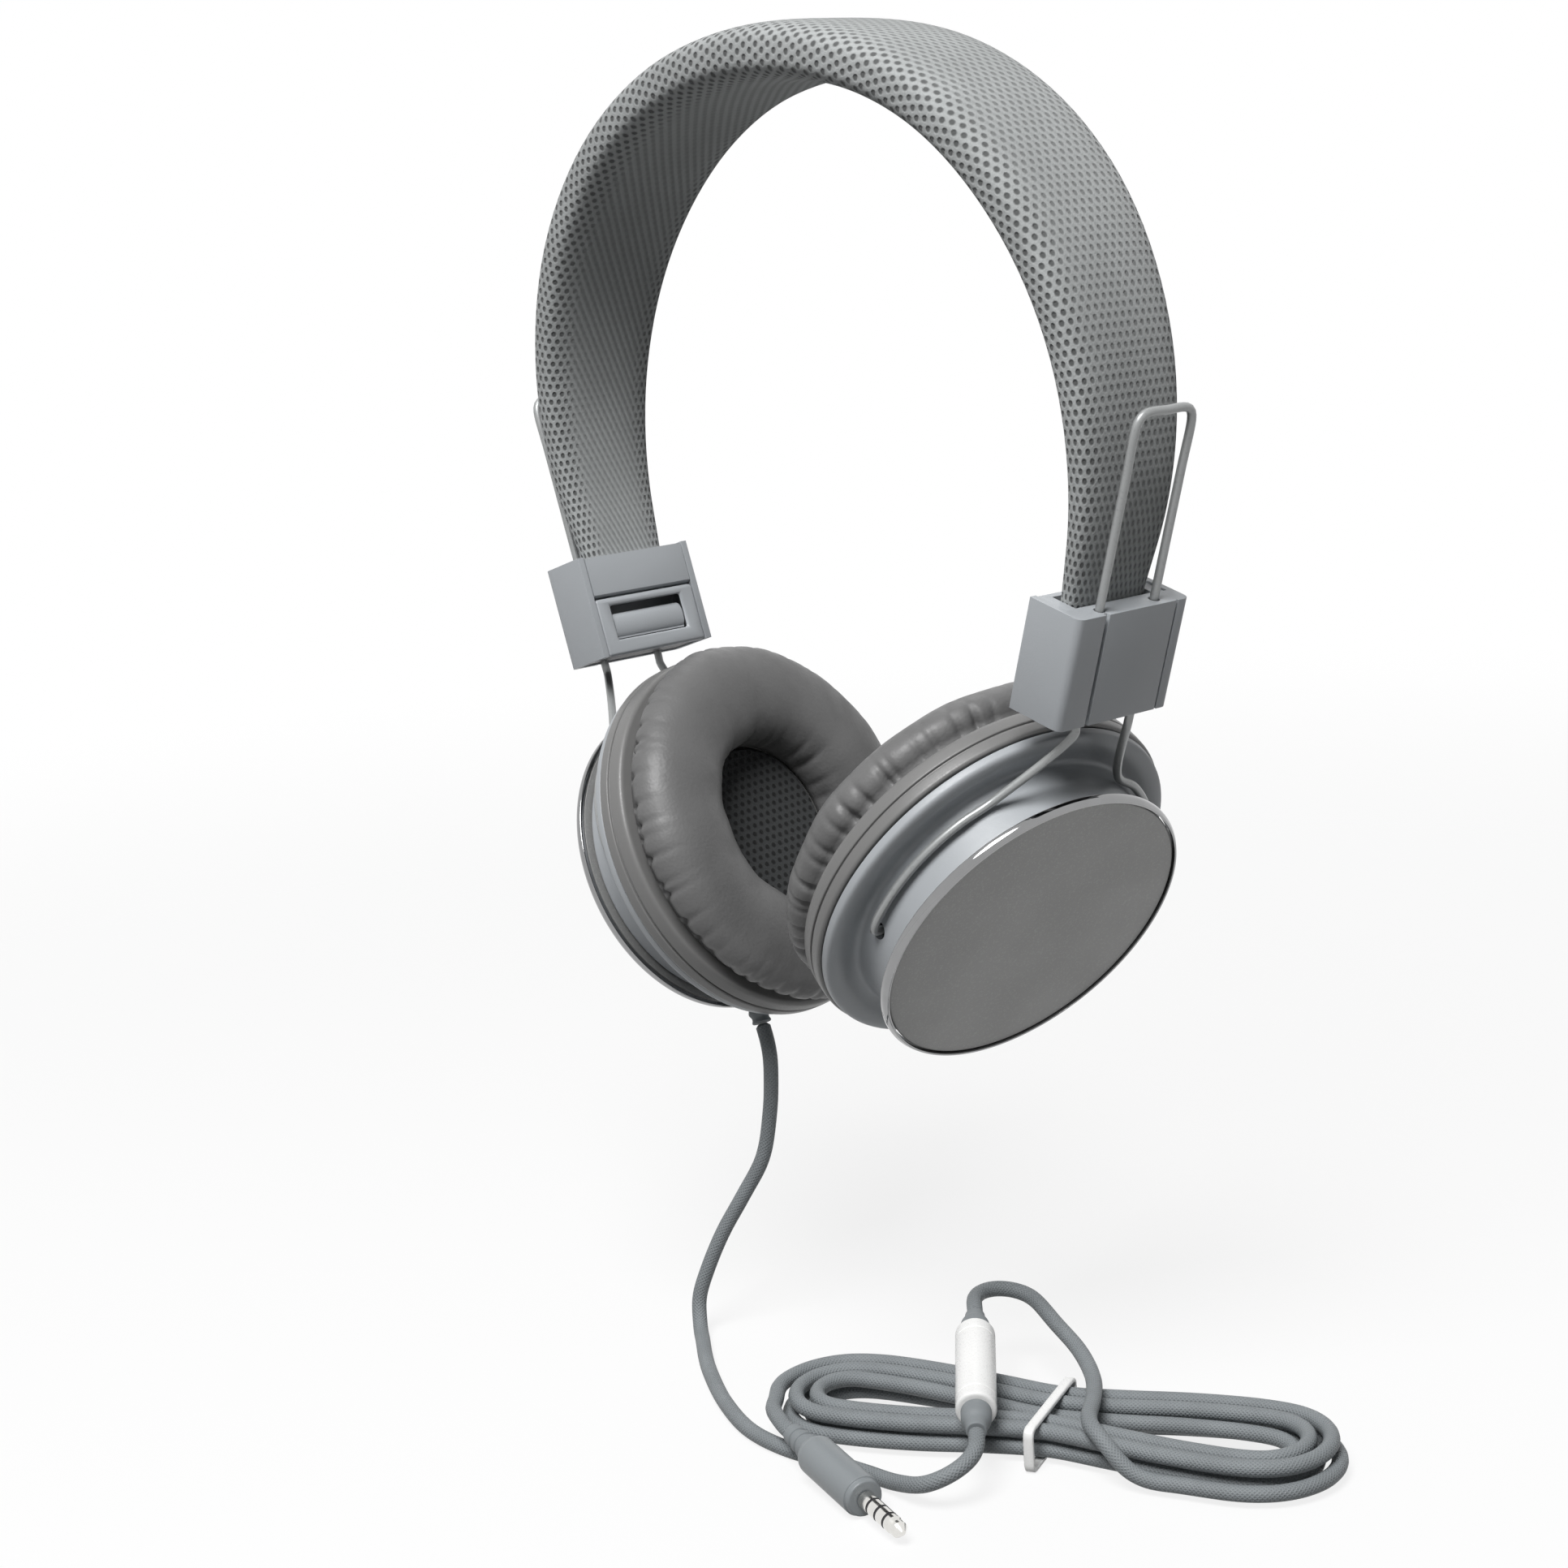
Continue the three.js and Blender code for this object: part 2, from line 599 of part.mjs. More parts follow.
const farPoints = [[-24.1, 25, 17.7], [-24.4, 27.7, 17.9], [-23.5, 30.6, 17.9],
  [-21.1, 33, 17.6], [-17.8, 33.9, 17], [-14.5, 33, 16.3], [-7, 26.1, 14], [0, 19, 12],
  [6, 9, 10.8], [8.8, 0, 10.6], [10.1, -6.6, 10.5], [11.3, -9.8, 10.1], [13, -11.9, 9.7],
  [15.2, -13.6, 8.5], [17.7, -14.6, 6.3], [19.8, -15, 4.5], [22.8, -15.2, 3.1]];

// Both of the hank's axes lie on the floor: +X along it, +Y away from the plug.
function fromHank([x, y, up]) {
  const [c, s] = [Math.cos(rad(hankTurn)), Math.sin(rad(hankTurn))];
  return v3(hankCentre[0] + c * x - s * y, hankCentre[1] + s * x + c * y, floorZ + up);
}

// The innermost turn: two runs drawn in at the tie and two round folds. `part` runs from 0 to 1.
function hankCurve(part) {
  const turn = part - Math.floor(part);
  const quarter = Math.floor(turn * 4);
  const along = turn * 4 - quarter;
  if (quarter % 2 === 1) {
    const a = Math.PI * (quarter === 1 ? along - 0.5 : along + 0.5);
    return [Math.sign(2 - quarter) * hankBend + hankFold * Math.cos(a), hankFold * Math.sin(a)];
  }
  const x = hankBend * (2 * along - 1);
  const drawn = (d) => 1 - Math.exp(-((d / 20) ** 2));
  const y = hankWaist + ((hankFold - hankWaist) * drawn(x)) / drawn(hankBend);
  return quarter === 0 ? [x, -y] : [-x, y];
}

// The hank winds inward in its lower layer, climbs along a run and winds out again above.
const hankStart = 0.25 * ((hankBend + 30) / (2 * hankBend));
const hankTurns = 4.919 - hankStart;
const reverse = hankTurns / 2 - 0.25;

function hankPoint(turns) {
  const part = hankStart + turns;
  const step = 1e-3;
  const [x, y] = hankCurve(part);
  const [x1, y1] = hankCurve(part + step);
  const [x0, y0] = hankCurve(part - step);
  const length = Math.hypot(x1 - x0, y1 - y0);
  const out = hankPitch * (turns < reverse ? reverse - turns : Math.max(turns - reverse - 0.5, 0));
  const climb = THREE.MathUtils.clamp((turns - reverse) / 0.5, 0, 1);
  const way = [(x1 - x0) / length, (y1 - y0) / length];
  return fromHank([x + way[1] * out, y - way[0] * out, hankFloor - floorZ + hankLayer * climb]);
}

// A tube through points, its section kept upright.
function cordThrough(points, radius, sides) {
  return loft(points.map((p, i) => {
    const ahead = points[Math.min(i + 1, points.length - 1)].clone();
    const way = ahead.sub(points[Math.max(i - 1, 0)]).normalize();
    const across = way.clone().cross(v3(0, 0, 1)).normalize();
    const up = across.clone().cross(way);
    return Array.from({ length: sides }, (_, j) => {
      const a = (j * 2 * Math.PI) / sides;
      return p.clone().addScaledVector(across, radius * Math.cos(a)).addScaledVector(up, radius * Math.sin(a));
    });
  }));
}

const hankPoints = () => {
  const count = Math.round(hankTurns * hankSteps);
  return Array.from({ length: count + 1 }, (_, i) => hankPoint((hankTurns * i) / count));
};

// The least gap between turns of the hank, measured on points along its middle line.
function leastGap(points, radius) {
  const fine = new THREE.CatmullRomCurve3(points).getSpacedPoints(points.length * 6);
  const skip = Math.ceil((8 * radius * fine.length) / new THREE.CatmullRomCurve3(points).getLength());
  let least = Infinity;
  for (let i = 0; i < fine.length; i += 1) {
    for (let j = i + skip; j < fine.length; j += 1) least = Math.min(least, fine[i].distanceTo(fine[j]));
  }
  return least - 2 * radius;
}

function hankTie() {
  const half = hankWaist + hankPitch * reverse + leadRadius + gap;
  const [low, high] = [hankFloor - leadRadius - gap, hankTop + leadRadius + gap];
  const ring = (grow, width) => box(-width / 2, width / 2, -half - grow, half + grow, low - grow, high + grow);
  return ring(tieThickness, tieWidth)
    .subtract(ring(0, 2 * tieWidth))
    .rotate([0, 0, hankTurn])
    .translate([hankCentre[0], hankCentre[1], 0]);
}

// A stretch of lead from one piece to the next, straight for a diameter at both ends.
function stretch(from, fromWay, points, to, toWay, steps) {
  const begin = from.clone().addScaledVector(fromWay, gap);
  const finish = to.clone().addScaledVector(toWay, -gap);
  const bend = 2 * leadRadius;
  const all = [begin, begin.clone().addScaledVector(fromWay, bend), ...points,
    finish.clone().addScaledVector(toWay, -bend), finish];
  return tube(new THREE.CatmullRomCurve3(all, false, "centripetal"), leadRadius, steps);
}

const wayFrom = (from, to) => to.clone().sub(from).normalize();

// A row of round pieces along a line, each [start, end, radius, end radius].
function along(origin, way, start, end, radius, endRadius = radius, sides = 20) {
  const at = (d) => origin.clone().addScaledVector(way, d);
  return bar(at(start), at(end), radius, endRadius, sides);
}

function addMicrophone(parent) {
  const [near, far] = atFloor([micNear, micFar]);
  const way = wayFrom(near, far);
  const total = 2 * (capsuleReliefLength + gap) + capsuleLength;
  const [start, end] = [capsuleReliefLength + gap, capsuleReliefLength + gap + capsuleLength];
  const relief = (a, b, ra, rb) => along(near, way, a, b, ra, rb, 12);
  const tip = leadRadius + 0.4;
  place(relief(0, capsuleReliefLength, tip, capsuleReliefRadius), "mic_relief_near", parent, greyCord());
  place(along(near, way, start, end, capsuleRadius), "mic_capsule", parent, whitePlastic());
  place(relief(end + gap, total, capsuleReliefRadius, tip), "mic_relief_far", parent, greyCord());
  return { near, far: near.clone().addScaledVector(way, total), way };
}

function addPlug(parent) {
  const [rear, front] = atFloor([plugRear, plugFront]);
  const way = wayFrom(rear, front);
  const barrel = plugReliefLength + gap;
  const jack = barrel + plugBarrelLength + gap;
  const neck = jack + jackLength - jackTipLength;
  place(along(rear, way, 0, plugReliefLength, leadRadius + 0.5, plugReliefRadius, 12), "plug_relief", parent, greyCord());
  place(along(rear, way, barrel, jack - gap, plugBarrelRadius), "plug_barrel", parent, greyPlastic());
  const shaft = along(rear, way, jack, neck, jackRadius, jackRadius, 16)
    .add(along(rear, way, neck - 0.1, neck + 1.2, jackNeckRadius, jackRadius - 0.1, 16))
    .add(along(rear, way, neck + 1.1, jack + jackLength, jackRadius - 0.1, 0.6, 16));
  place(shaft, "plug_shaft", parent, steel());
  return { rear, way };
}

function addLead(parent) {
  const points = hankPoints();
  console.log(`hank: least gap to itself ${leastGap(points, leadRadius).toFixed(2)} mm`);
  place(cordThrough(points, leadRadius, hankSides), "lead_hank", parent, greyCord());
  place(hankTie(), "hank_tie", parent, whitePlastic());
  const microphone = addMicrophone(parent);
  const plug = addPlug(parent);
  cupGroups.left.updateWorldMatrix(true, false);
  const leaves = (d) => leadWay(d).applyMatrix4(cupGroups.left.matrixWorld);
  const away = wayFrom(leaves(0), leaves(1));
  const landing = v3(-32.6, -22.8, leadFloor);
  const onward = v3(0.79, -0.61, 0).normalize();
  place(stretch(leaves(reliefEnd), away, dropPoints, landing, onward, 32), "lead_drop", parent, greyCord());
  const [first, second] = [points[0], points[1]];
  const [last, before] = [points.at(-1), points.at(-2)];
  const run = stretch(landing, onward, runPoints, microphone.near, microphone.way, 36);
  place(run, "lead_run", parent, greyCord());
  const far = stretch(microphone.far, microphone.way, farPoints.map(fromHank), first, wayFrom(first, second), 36);
  place(far, "lead_mic_far", parent, greyCord());
  const tail = stretch(last, wayFrom(before, last), [], plug.rear, plug.way, 8);
  place(tail, "lead_tail", parent, greyCord());
}

const headset = new THREE.Group();
for (const [name, side] of [["right", 1], ["left", -1]]) {
  const [from, to] = [(side * gap) / 2, (side * crownPieceLength) / 2];
  place(bandPiece(from, to), `band_cover_crown_${name}`, headset, fabric());
  place(springRun(from, to), `band_spring_crown_${name}`, headset, steel());
}
addSide("right", headset);
addSide("left", headset);
place(leadRelief(), "lead_relief", cupGroups.left, greyCord());
addLead(headset);

export default headset;
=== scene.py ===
"""Looks of a folding on-ear headset with an inline microphone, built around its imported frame.

Shapes are worked out in millimetres in the frame's axes, and become metres when a mesh is made.
"""
import math

import bmesh
import bpy
import numpy as np
from bpy.props import FloatProperty, FloatVectorProperty, IntProperty, PointerProperty
from mathutils import Matrix, Vector


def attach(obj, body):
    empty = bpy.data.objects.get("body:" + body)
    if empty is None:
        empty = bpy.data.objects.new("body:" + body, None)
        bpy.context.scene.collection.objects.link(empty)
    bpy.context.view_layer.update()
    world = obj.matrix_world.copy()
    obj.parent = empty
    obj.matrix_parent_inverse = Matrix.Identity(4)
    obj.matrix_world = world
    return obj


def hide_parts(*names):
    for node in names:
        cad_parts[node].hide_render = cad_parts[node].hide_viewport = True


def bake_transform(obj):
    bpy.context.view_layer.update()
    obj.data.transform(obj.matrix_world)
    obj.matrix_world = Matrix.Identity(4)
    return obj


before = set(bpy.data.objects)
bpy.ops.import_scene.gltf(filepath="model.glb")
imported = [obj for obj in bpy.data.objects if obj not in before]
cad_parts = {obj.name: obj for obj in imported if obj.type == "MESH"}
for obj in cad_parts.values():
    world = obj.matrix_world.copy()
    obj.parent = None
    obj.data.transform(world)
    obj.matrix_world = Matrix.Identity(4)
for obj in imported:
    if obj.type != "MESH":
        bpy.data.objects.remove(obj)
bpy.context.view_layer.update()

bl_info = {
    "name": "Folding on-ear headset",
    "version": (1, 0, 0),
    "blender": (4, 5, 0),
    "location": "3D View > Sidebar > Headset",
    "description": "Builds the padded band, folding blocks, wire yokes, ear cups and lead of a headset",
    "category": "Object",
}

MM = 0.001
TURN = 2 * math.pi
SIDES = ("right", "left")

# ---- Sizes shared with the solids, in millimetres ------------------------------------------
GAP = 0.3
CROWN_RADIUS, CROWN_ANGLE = 85.6, math.radians(16)
SIDE_RADIUS = 71.0
STRAIGHT_END = 9.0
SEAT_DEPTH = 4.4
BAND_SECTION = ((37.0, 11.5), (20.4, 5.2))  # width and thickness at the crown, and at the ends
BLOCK_LEAN = math.radians(17.3)
BLOCK_DEPTH, BLOCK_HEIGHT = 12.4, 21.9
PANEL = 1.3
WINDOW_LOW, WINDOW_WIDTH = -7.65, 19.6
WIRE_RADIUS, WIRE_FROM_FACE, LEG_SPACING = 0.85, 2.3, 15.0
LOOP_HEIGHT, LOOP_CORNER = 37.0, 2.6
ARM_RISE, ARM_CLEAR, ARM_TILT = 28.0, 0.8, 33.4
PIN_BEND, PIVOT_REACH, LEG_END = 2.2, 2.2, 2.6
PIVOT = np.array([41.65, 0.0, -157.1])
CUP_TILT = {"right": 33.4, "left": 24.8}
TOE_IN = 8.3
DRUM, DRUM_FRONT, DRUM_BACK = 31.0, 7.0, -1.8
DISH_END, FLANGE_FRONT, FLANGE_END = -5.5, -5.8, -12.2
FLANGE = 39.3
CUSHION, CUSHION_HOLE, CUSHION_DEPTH, CUSHION_PINCH = 39.2, 17.6, 12.2, 2.6
FLOOR = -262.0
LEAD = 1.6
CROWN_LENGTH = CROWN_RADIUS * CROWN_ANGLE
SIDE_LENGTH = SIDE_RADIUS * (math.pi / 2 + BLOCK_LEAN - CROWN_ANGLE)
BAND_LENGTH = CROWN_LENGTH + SIDE_LENGTH + STRAIGHT_END + SEAT_DEPTH
SEAM = CROWN_RADIUS * math.asin(6.5 / CROWN_RADIUS)  # 6.5 mm to each side of the crown


# ---- Settings ------------------------------------------------------------------------------
def length(name, text, default, low, high):
    return FloatProperty(
        name=name, description=text, default=default, min=low, max=high, unit="LENGTH", precision=5)


def colour(name, text, default):
    return FloatVectorProperty(
        name=name, description=text, default=default, min=0, max=1, size=3, subtype="COLOR")


def power(name, text, default):
    return FloatProperty(name=name, description=text, default=default, min=0, max=200, unit="POWER")


class HeadsetSizes(bpy.types.PropertyGroup):
    cloth_column: IntProperty(
        name="Mesh columns", description="Holes of the cloth round the band", default=38, min=20, max=90)
    cloth_row: length("Mesh row", "Distance between rows of holes along the band", 0.0017, 0.001, 0.005)
    edge_round: length("Edge rounding", "Rounding of the moulded blocks' edges", 0.0008, 0.0001, 0.001)
    pleat_depth: length("Pleat depth", "Depth of the gathers at the cushions' sewn edge", 0.0015, 0, 0.002)
    pleat_count: IntProperty(name="Pleats", description="Gathers round a cushion", default=54, min=12, max=90)
    lead_diameter: length("Lead diameter", "Diameter of the lead", 0.0032, 0.002, 0.004)


class HeadsetColours(bpy.types.PropertyGroup):
    cloth: colour("Band cloth", "Yarn of the band's cover", (0.4, 0.415, 0.415))
    moulding: colour("Moulding", "Grey moulded plastic", (0.38, 0.4, 0.42))
    leatherette: colour("Leatherette", "Skin of the ear cushions", (0.13, 0.13, 0.13))
    cap: colour("Cap", "Satin face of the cups", (0.28, 0.28, 0.276))
    jacket: colour("Jacket", "Jacket of the lead", (0.24, 0.26, 0.272))
    capsule: colour("Capsule", "White plastic of the microphone", (0.9, 0.9, 0.89))
    paint: colour("Wire", "Coat of the wire yokes", (0.34, 0.35, 0.35))


class StageSettings(bpy.types.PropertyGroup):
    key_power: power("Key light", "Power of the large light above the camera", 22.0)
    fill_power: power("Fill light", "Power of the light behind and above", 2.0)
    sky: FloatProperty(
        name="Room light", description="Strength of the even light all round", default=0.1, min=0, max=2)
    floor_tone: colour("Floor", "Colour of the pale floor", (0.85, 0.85, 0.85))
    bounce: FloatProperty(
        name="Bounce", description="Share of its colour that the floor throws back on the object",
        default=0.3, min=0, max=1)


# ---- Lines ---------------------------------------------------------------------------------
def rounded(corners, reach, steps=6, joined=True):
    """Each corner P of a line becomes the curve (1-t)^2 A + 2t(1-t) P + t^2 B.

    A and B lie `reach` away towards its neighbours, or under half way.
    """
    p = np.asarray(corners, float)
    r = np.broadcast_to(np.asarray(reach, float), (len(p),))[:, None].copy()
    if not joined:
        r[0] = r[-1] = 0

    def cut(neighbour):
        way = neighbour - p
        far = np.linalg.norm(way, axis=1, keepdims=True)
        return p + way / far * np.minimum(r, 0.49 * far)

    a, b = cut(np.roll(p, 1, 0)), cut(np.roll(p, -1, 0))
    t = np.linspace(0, 1, steps)[None, :, None]
    line = (1 - t) ** 2 * a[:, None] + 2 * t * (1 - t) * p[:, None] + t**2 * b[:, None]
    line = line.reshape(-1, p.shape[1])
    return line[np.linalg.norm(np.diff(line, axis=0, prepend=line[:1] - 1), axis=1) > 1e-6]


def spline(points, each=12, joined=False):
    """Centripetal Catmull-Rom: a cubic joins each two points.

    The tangents are weighed by the square roots of the chords.
    """
    p = np.asarray(points, float)
    if joined:
        p = np.concatenate([p[-1:], p, p[:2]])
    else:
        p = np.concatenate([2 * p[:1] - p[1:2], p, 2 * p[-1:] - p[-2:-1]])
    p0, p1, p2, p3 = p[:-3], p[1:-2], p[2:-1], p[3:]
    d0, d1, d2 = (
        np.linalg.norm(b - a, axis=1, keepdims=True) ** 0.5 for a, b in ((p0, p1), (p1, p2), (p2, p3)))
    m1 = ((p1 - p0) / d0 - (p2 - p0) / (d0 + d1) + (p2 - p1) / d1) * d1
    m2 = ((p2 - p1) / d1 - (p3 - p1) / (d1 + d2) + (p3 - p2) / d2) * d1
    t = np.linspace(0, 1, each, endpoint=False)[None, :, None]
    a, b, m, n = (v[:, None] for v in (p1, p2, m1, m2))
    line = a + m * t + (3 * (b - a) - 2 * m - n) * t**2 + (2 * (a - b) + m + n) * t**3
    line = line.reshape(-1, p.shape[1])
    return line if joined else np.concatenate([line, p[-2:-1]])


def distances(line):
    return np.concatenate([[0], np.cumsum(np.linalg.norm(np.diff(line, axis=0), axis=1))])


def evenly(line, step):
    """The same line, cut again at equal distances of about `step`."""
    run = distances(line)
    at = np.linspace(0, run[-1], max(2, round(run[-1] / step) + 1))
    return np.stack([np.interp(at, run, line[:, k]) for k in range(line.shape[1])], 1)


def relaxed(line, passes=24):
    """Takes the small kinks out of a line.

    Each pass moves its points half way to their neighbours' middle, and then back by a little
    more, so that wide bends keep their size.
    """
    line = line.copy()
    for _ in range(passes):
        for share in (0.5, -0.52):
            line[1:-1] += share * ((line[:-2] + line[2:]) / 2 - line[1:-1])
    return line


def unit(v):
    v = np.asarray(v, float).ravel()
    return v / np.linalg.norm(v)


def carried_frames(line):
    """Directions along the line and two across it, handed on with the least turn."""
    way = np.gradient(line, axis=0)
    way /= np.linalg.norm(way, axis=1, keepdims=True)
    side = np.cross(way[0], [0.0, 0.0, 1.0] if abs(way[0, 2]) < 0.9 else [1.0, 0.0, 0.0])
    sides = np.empty_like(way)
    for i, w in enumerate(way):
        side = side - w * side.dot(w)
        side = side / np.linalg.norm(side)
        sides[i] = side
    return way, sides, np.cross(sides, way)


# ---- Surfaces ------------------------------------------------------------------------------
def skin(name, grid, round_rows=False, poles=(None, None), chart=None, material=None, sharp=38):
    """A mesh over a grid of points, whose columns run round it.

    Quad (i, j) joins (i, j), (i, j+1), (i+1, j+1) and (i+1, j), and a pole closes an end with a
    fan. `chart` holds U and V on the grid, with the line where it closes given twice.
    """
    rows, columns = grid.shape[:2]
    points = grid.reshape(-1, 3)
    i, j = np.meshgrid(np.arange(rows - (not round_rows)), np.arange(columns), indexing="ij")
    i, j = i.ravel(), j.ravel()
    ci, cj = np.stack([i, i, i + 1, i + 1], 1), np.stack([j, j + 1, j + 1, j], 1)
    quads = (ci % rows) * columns + cj % columns
    corner = points[quads]
    a, b, c = (corner[:, k] - corner[:, 0] for k in (1, 2, 3))
    volume = (corner[:, 0] * (np.cross(a, b) + np.cross(b, c))).sum()
    faces = quads.tolist()
    uv = [] if chart is None else [chart[ci, cj]]
    k = np.arange(columns)
    for pole, row, order in ((poles[0], 0, (1, 0)), (poles[1], rows - 1, (0, 1))):
        if pole is None:
            continue
        points = np.concatenate([points, np.asarray(pole, float)[None]])
        ring = np.stack([k, k + 1], 1)[:, order]
        tip = np.full((columns, 1), len(points) - 1)
        faces += np.concatenate([tip, row * columns + ring % columns], 1).tolist()
        if chart is not None:
            outer = chart[row, ring]
            middle = outer.mean((0, 1))[None, None].repeat(columns, 0)
            uv.append(np.concatenate([middle, outer], 1))
    if volume < 0:
        faces = [face[::-1] for face in faces]
        uv = [part[:, ::-1] for part in uv]
    mesh = bpy.data.meshes.new(name)
    mesh.from_pydata((points * MM).tolist(), [], faces)
    if uv:
        flat = np.concatenate([part.reshape(-1, 2) for part in uv])
        mesh.uv_layers.new(name="Surface").data.foreach_set("uv", flat.astype(np.float32).ravel())
    smooth(mesh, sharp)
    if material:
        mesh.materials.append(material)
    return placed(name, mesh)


def placed(name, mesh):
    piece = bpy.data.objects.new(name, mesh)
    bpy.context.scene.collection.objects.link(piece)
    return piece


def smooth(mesh, sharp):
    """Smooth shading, broken at edges over `sharp` degrees."""
    mesh.polygons.foreach_set("use_smooth", np.ones(len(mesh.polygons), bool))
    mesh.update()
    mesh.set_sharp_from_angle(angle=math.radians(sharp))


def tube(name, line, radius, sides=16, material=None, ends=0.35):
    """Rings of one radius across a line, both ends rounded off by a share of it and closed."""
    way, across, up = carried_frames(line)
    a = np.linspace(0, TURN, sides, endpoint=False)
    circle = across[:, None] * np.cos(a)[None, :, None] + up[:, None] * np.sin(a)[None, :, None]
    grid = line[:, None] + radius * circle
    first = line[0] + (grid[0] - line[0]) * (1 - ends)
    last = line[-1] + (grid[-1] - line[-1]) * (1 - ends)
    soft, run = ends * radius, distances(line)
    grid = np.concatenate(
        [first[None], grid[:1] + soft * way[0], grid[1:-1], grid[-1:] - soft * way[-1], last[None]])
    run = np.concatenate([run[:1], run[:1] + soft, run[1:-1], run[-1:] - soft, run[-1:]])
    chart = np.stack(np.meshgrid(np.linspace(0, TURN * radius, sides + 1), run), -1)
    return skin(name, grid, poles=(line[0], line[-1]), chart=chart, material=material)


def lathe(name, profile, turn, steps=160, material=None, shape=None, sharp=38):
    """Turns a profile of (distance along the axis, radius) about local X.

    `shape` may move the points, given as (distance, radius, angle). A profile that begins and
    ends on the axis is closed by poles, and any other is closed on itself.
    """
    profile = np.asarray(profile, float)
    closed = profile[0, 1] > 1e-6
    body = profile if closed else profile[1:-1]
    a = np.linspace(0, TURN, steps, endpoint=False)
    x, r, a = np.broadcast_arrays(body[:, 0, None], body[:, 1, None], a[None])
    if shape:
        x, r = shape(x, r, a)
    grid = np.stack([x, r * np.cos(a), r * np.sin(a)], -1)
    wrapped = np.concatenate([grid, grid[:, :1]], 1)
    wrapped = np.concatenate([wrapped, wrapped[:1]], 0) if closed else wrapped
    tips = moved(np.array([[profile[k, 0], 0, 0] for k in (0, -1)]), turn)
    return skin(name, moved(grid, turn), closed, (None, None) if closed else tips,
                wrapped[..., 1:], material, sharp)


def moved(points, turn):
    return points @ turn[:3, :3].T + turn[:3, 3]


def turning(axis, degrees):
    return np.array(Matrix.Rotation(math.radians(degrees), 4, axis))


def shift(x, y, z):
    return np.array(Matrix.Translation((x, y, z)))


def cut_by(piece, cutters):
    for cutter in cutters:
        cut = piece.modifiers.new("Cut", "BOOLEAN")
        cut.operation, cut.solver, cut.object = "DIFFERENCE", "EXACT", cutter


def settle(piece, cutters, sharp=32):
    """Turns the modifiers into mesh, and clears the cutters away."""
    bpy.context.view_layer.update()
    shaped = piece.evaluated_get(bpy.context.evaluated_depsgraph_get())
    mesh = bpy.data.meshes.new_from_object(shaped)
    piece.modifiers.clear()
    piece.data = mesh
    smooth(mesh, sharp)
    for cutter in cutters:
        bpy.data.objects.remove(cutter)


def fit(piece, body, slot, *nodes):
    """The piece takes the place of the solids named, and rides with their body."""
    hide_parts(*nodes)
    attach(piece, body)
    return piece


# ---- Where things are ----------------------------------------------------------------------
def side_turn(side):
    return np.eye(4) if side == "right" else turning("Z", 180)


def toe_of(side):
    return -TOE_IN if side == "right" else TOE_IN


def cup_turn(side):
    """The cup's own axes: local +X points out of its face."""
    return side_turn(side) @ shift(*PIVOT) @ turning("Z", toe_of(side)) @ turning("Y", CUP_TILT[side])


def band_line(distance):
    """Points and outward directions of the band's middle line.

    It is a flat arc over the head, a tighter arc down each side and a straight end.
    """
    d = np.asarray(distance, float)
    side, run = np.where(d < 0, -1.0, 1.0), np.abs(d)
    crown = np.minimum(run, CROWN_LENGTH) / CROWN_RADIUS
    bend = crown + np.clip(run - CROWN_LENGTH, 0, SIDE_LENGTH) / SIDE_RADIUS
    end = np.maximum(run - CROWN_LENGTH - SIDE_LENGTH, 0)
    off = CROWN_RADIUS - SIDE_RADIUS
    x = off * np.sin(crown) + SIDE_RADIUS * np.sin(bend) + end * np.cos(bend)
    fall = off * (1 - np.cos(crown)) + SIDE_RADIUS * (1 - np.cos(bend)) + end * np.sin(bend)
    z = BAND_SECTION[0][1] / 2 - fall
    zero = np.zeros_like(x)
    return np.stack([side * x, zero, z], -1), np.stack([side * np.sin(bend), zero, np.cos(bend)], -1)


def block_turn(side):
    """The block's own axes: +X out of its outer face, +Z up along the band's straight end."""
    top, _ = band_line([BAND_LENGTH - SEAT_DEPTH])
    seat = -BLOCK_DEPTH / 2 + PANEL + GAP + BAND_SECTION[1][1] / 2
    lean = turning("Y", math.degrees(BLOCK_LEAN))
    return side_turn(side) @ shift(*top[0]) @ lean @ shift(-seat, 0, -BLOCK_HEIGHT / 2)


# ---- Finishes ------------------------------------------------------------------------------
class Number:
    """A node's output, on which further nodes are written as plain arithmetic."""

    def __init__(self, socket):
        self.socket = socket

    def math(self, operation, *others):
        inputs = dict(enumerate((self, *others)))
        return add(self.socket.id_data, "ShaderNodeMath", inputs, operation=operation)

    def __add__(self, other):
        return self.math("ADD", other)

    def __sub__(self, other):
        return self.math("SUBTRACT", other)

    def __mul__(self, other):
        return self.math("MULTIPLY", other)

    def __truediv__(self, other):
        return self.math("DIVIDE", other)

    def spread(self, low, high, out_low=0.0, out_high=1.0):
        """Runs smoothly from out_low to out_high while the number runs from low to high."""
        inputs = {"Value": self, "From Min": low, "From Max": high, "To Min": out_low, "To Max": out_high}
        return add(self.socket.id_data, "ShaderNodeMapRange", inputs, interpolation_type="SMOOTHSTEP")


def fill(node, inputs):
    """Fills a node's inputs, named or numbered, with values or with other nodes' outputs."""
    for key, value in inputs.items():
        if isinstance(value, Number):
            node.id_data.links.new(value.socket, node.inputs[key])
        else:
            node.inputs[key].default_value = value


def add(tree, kind, inputs=None, output=0, **options):
    node = tree.nodes.new(kind)
    for key, value in options.items():
        setattr(node, key, value)
    fill(node, inputs or {})
    return Number(node.outputs[output]) if node.outputs else node


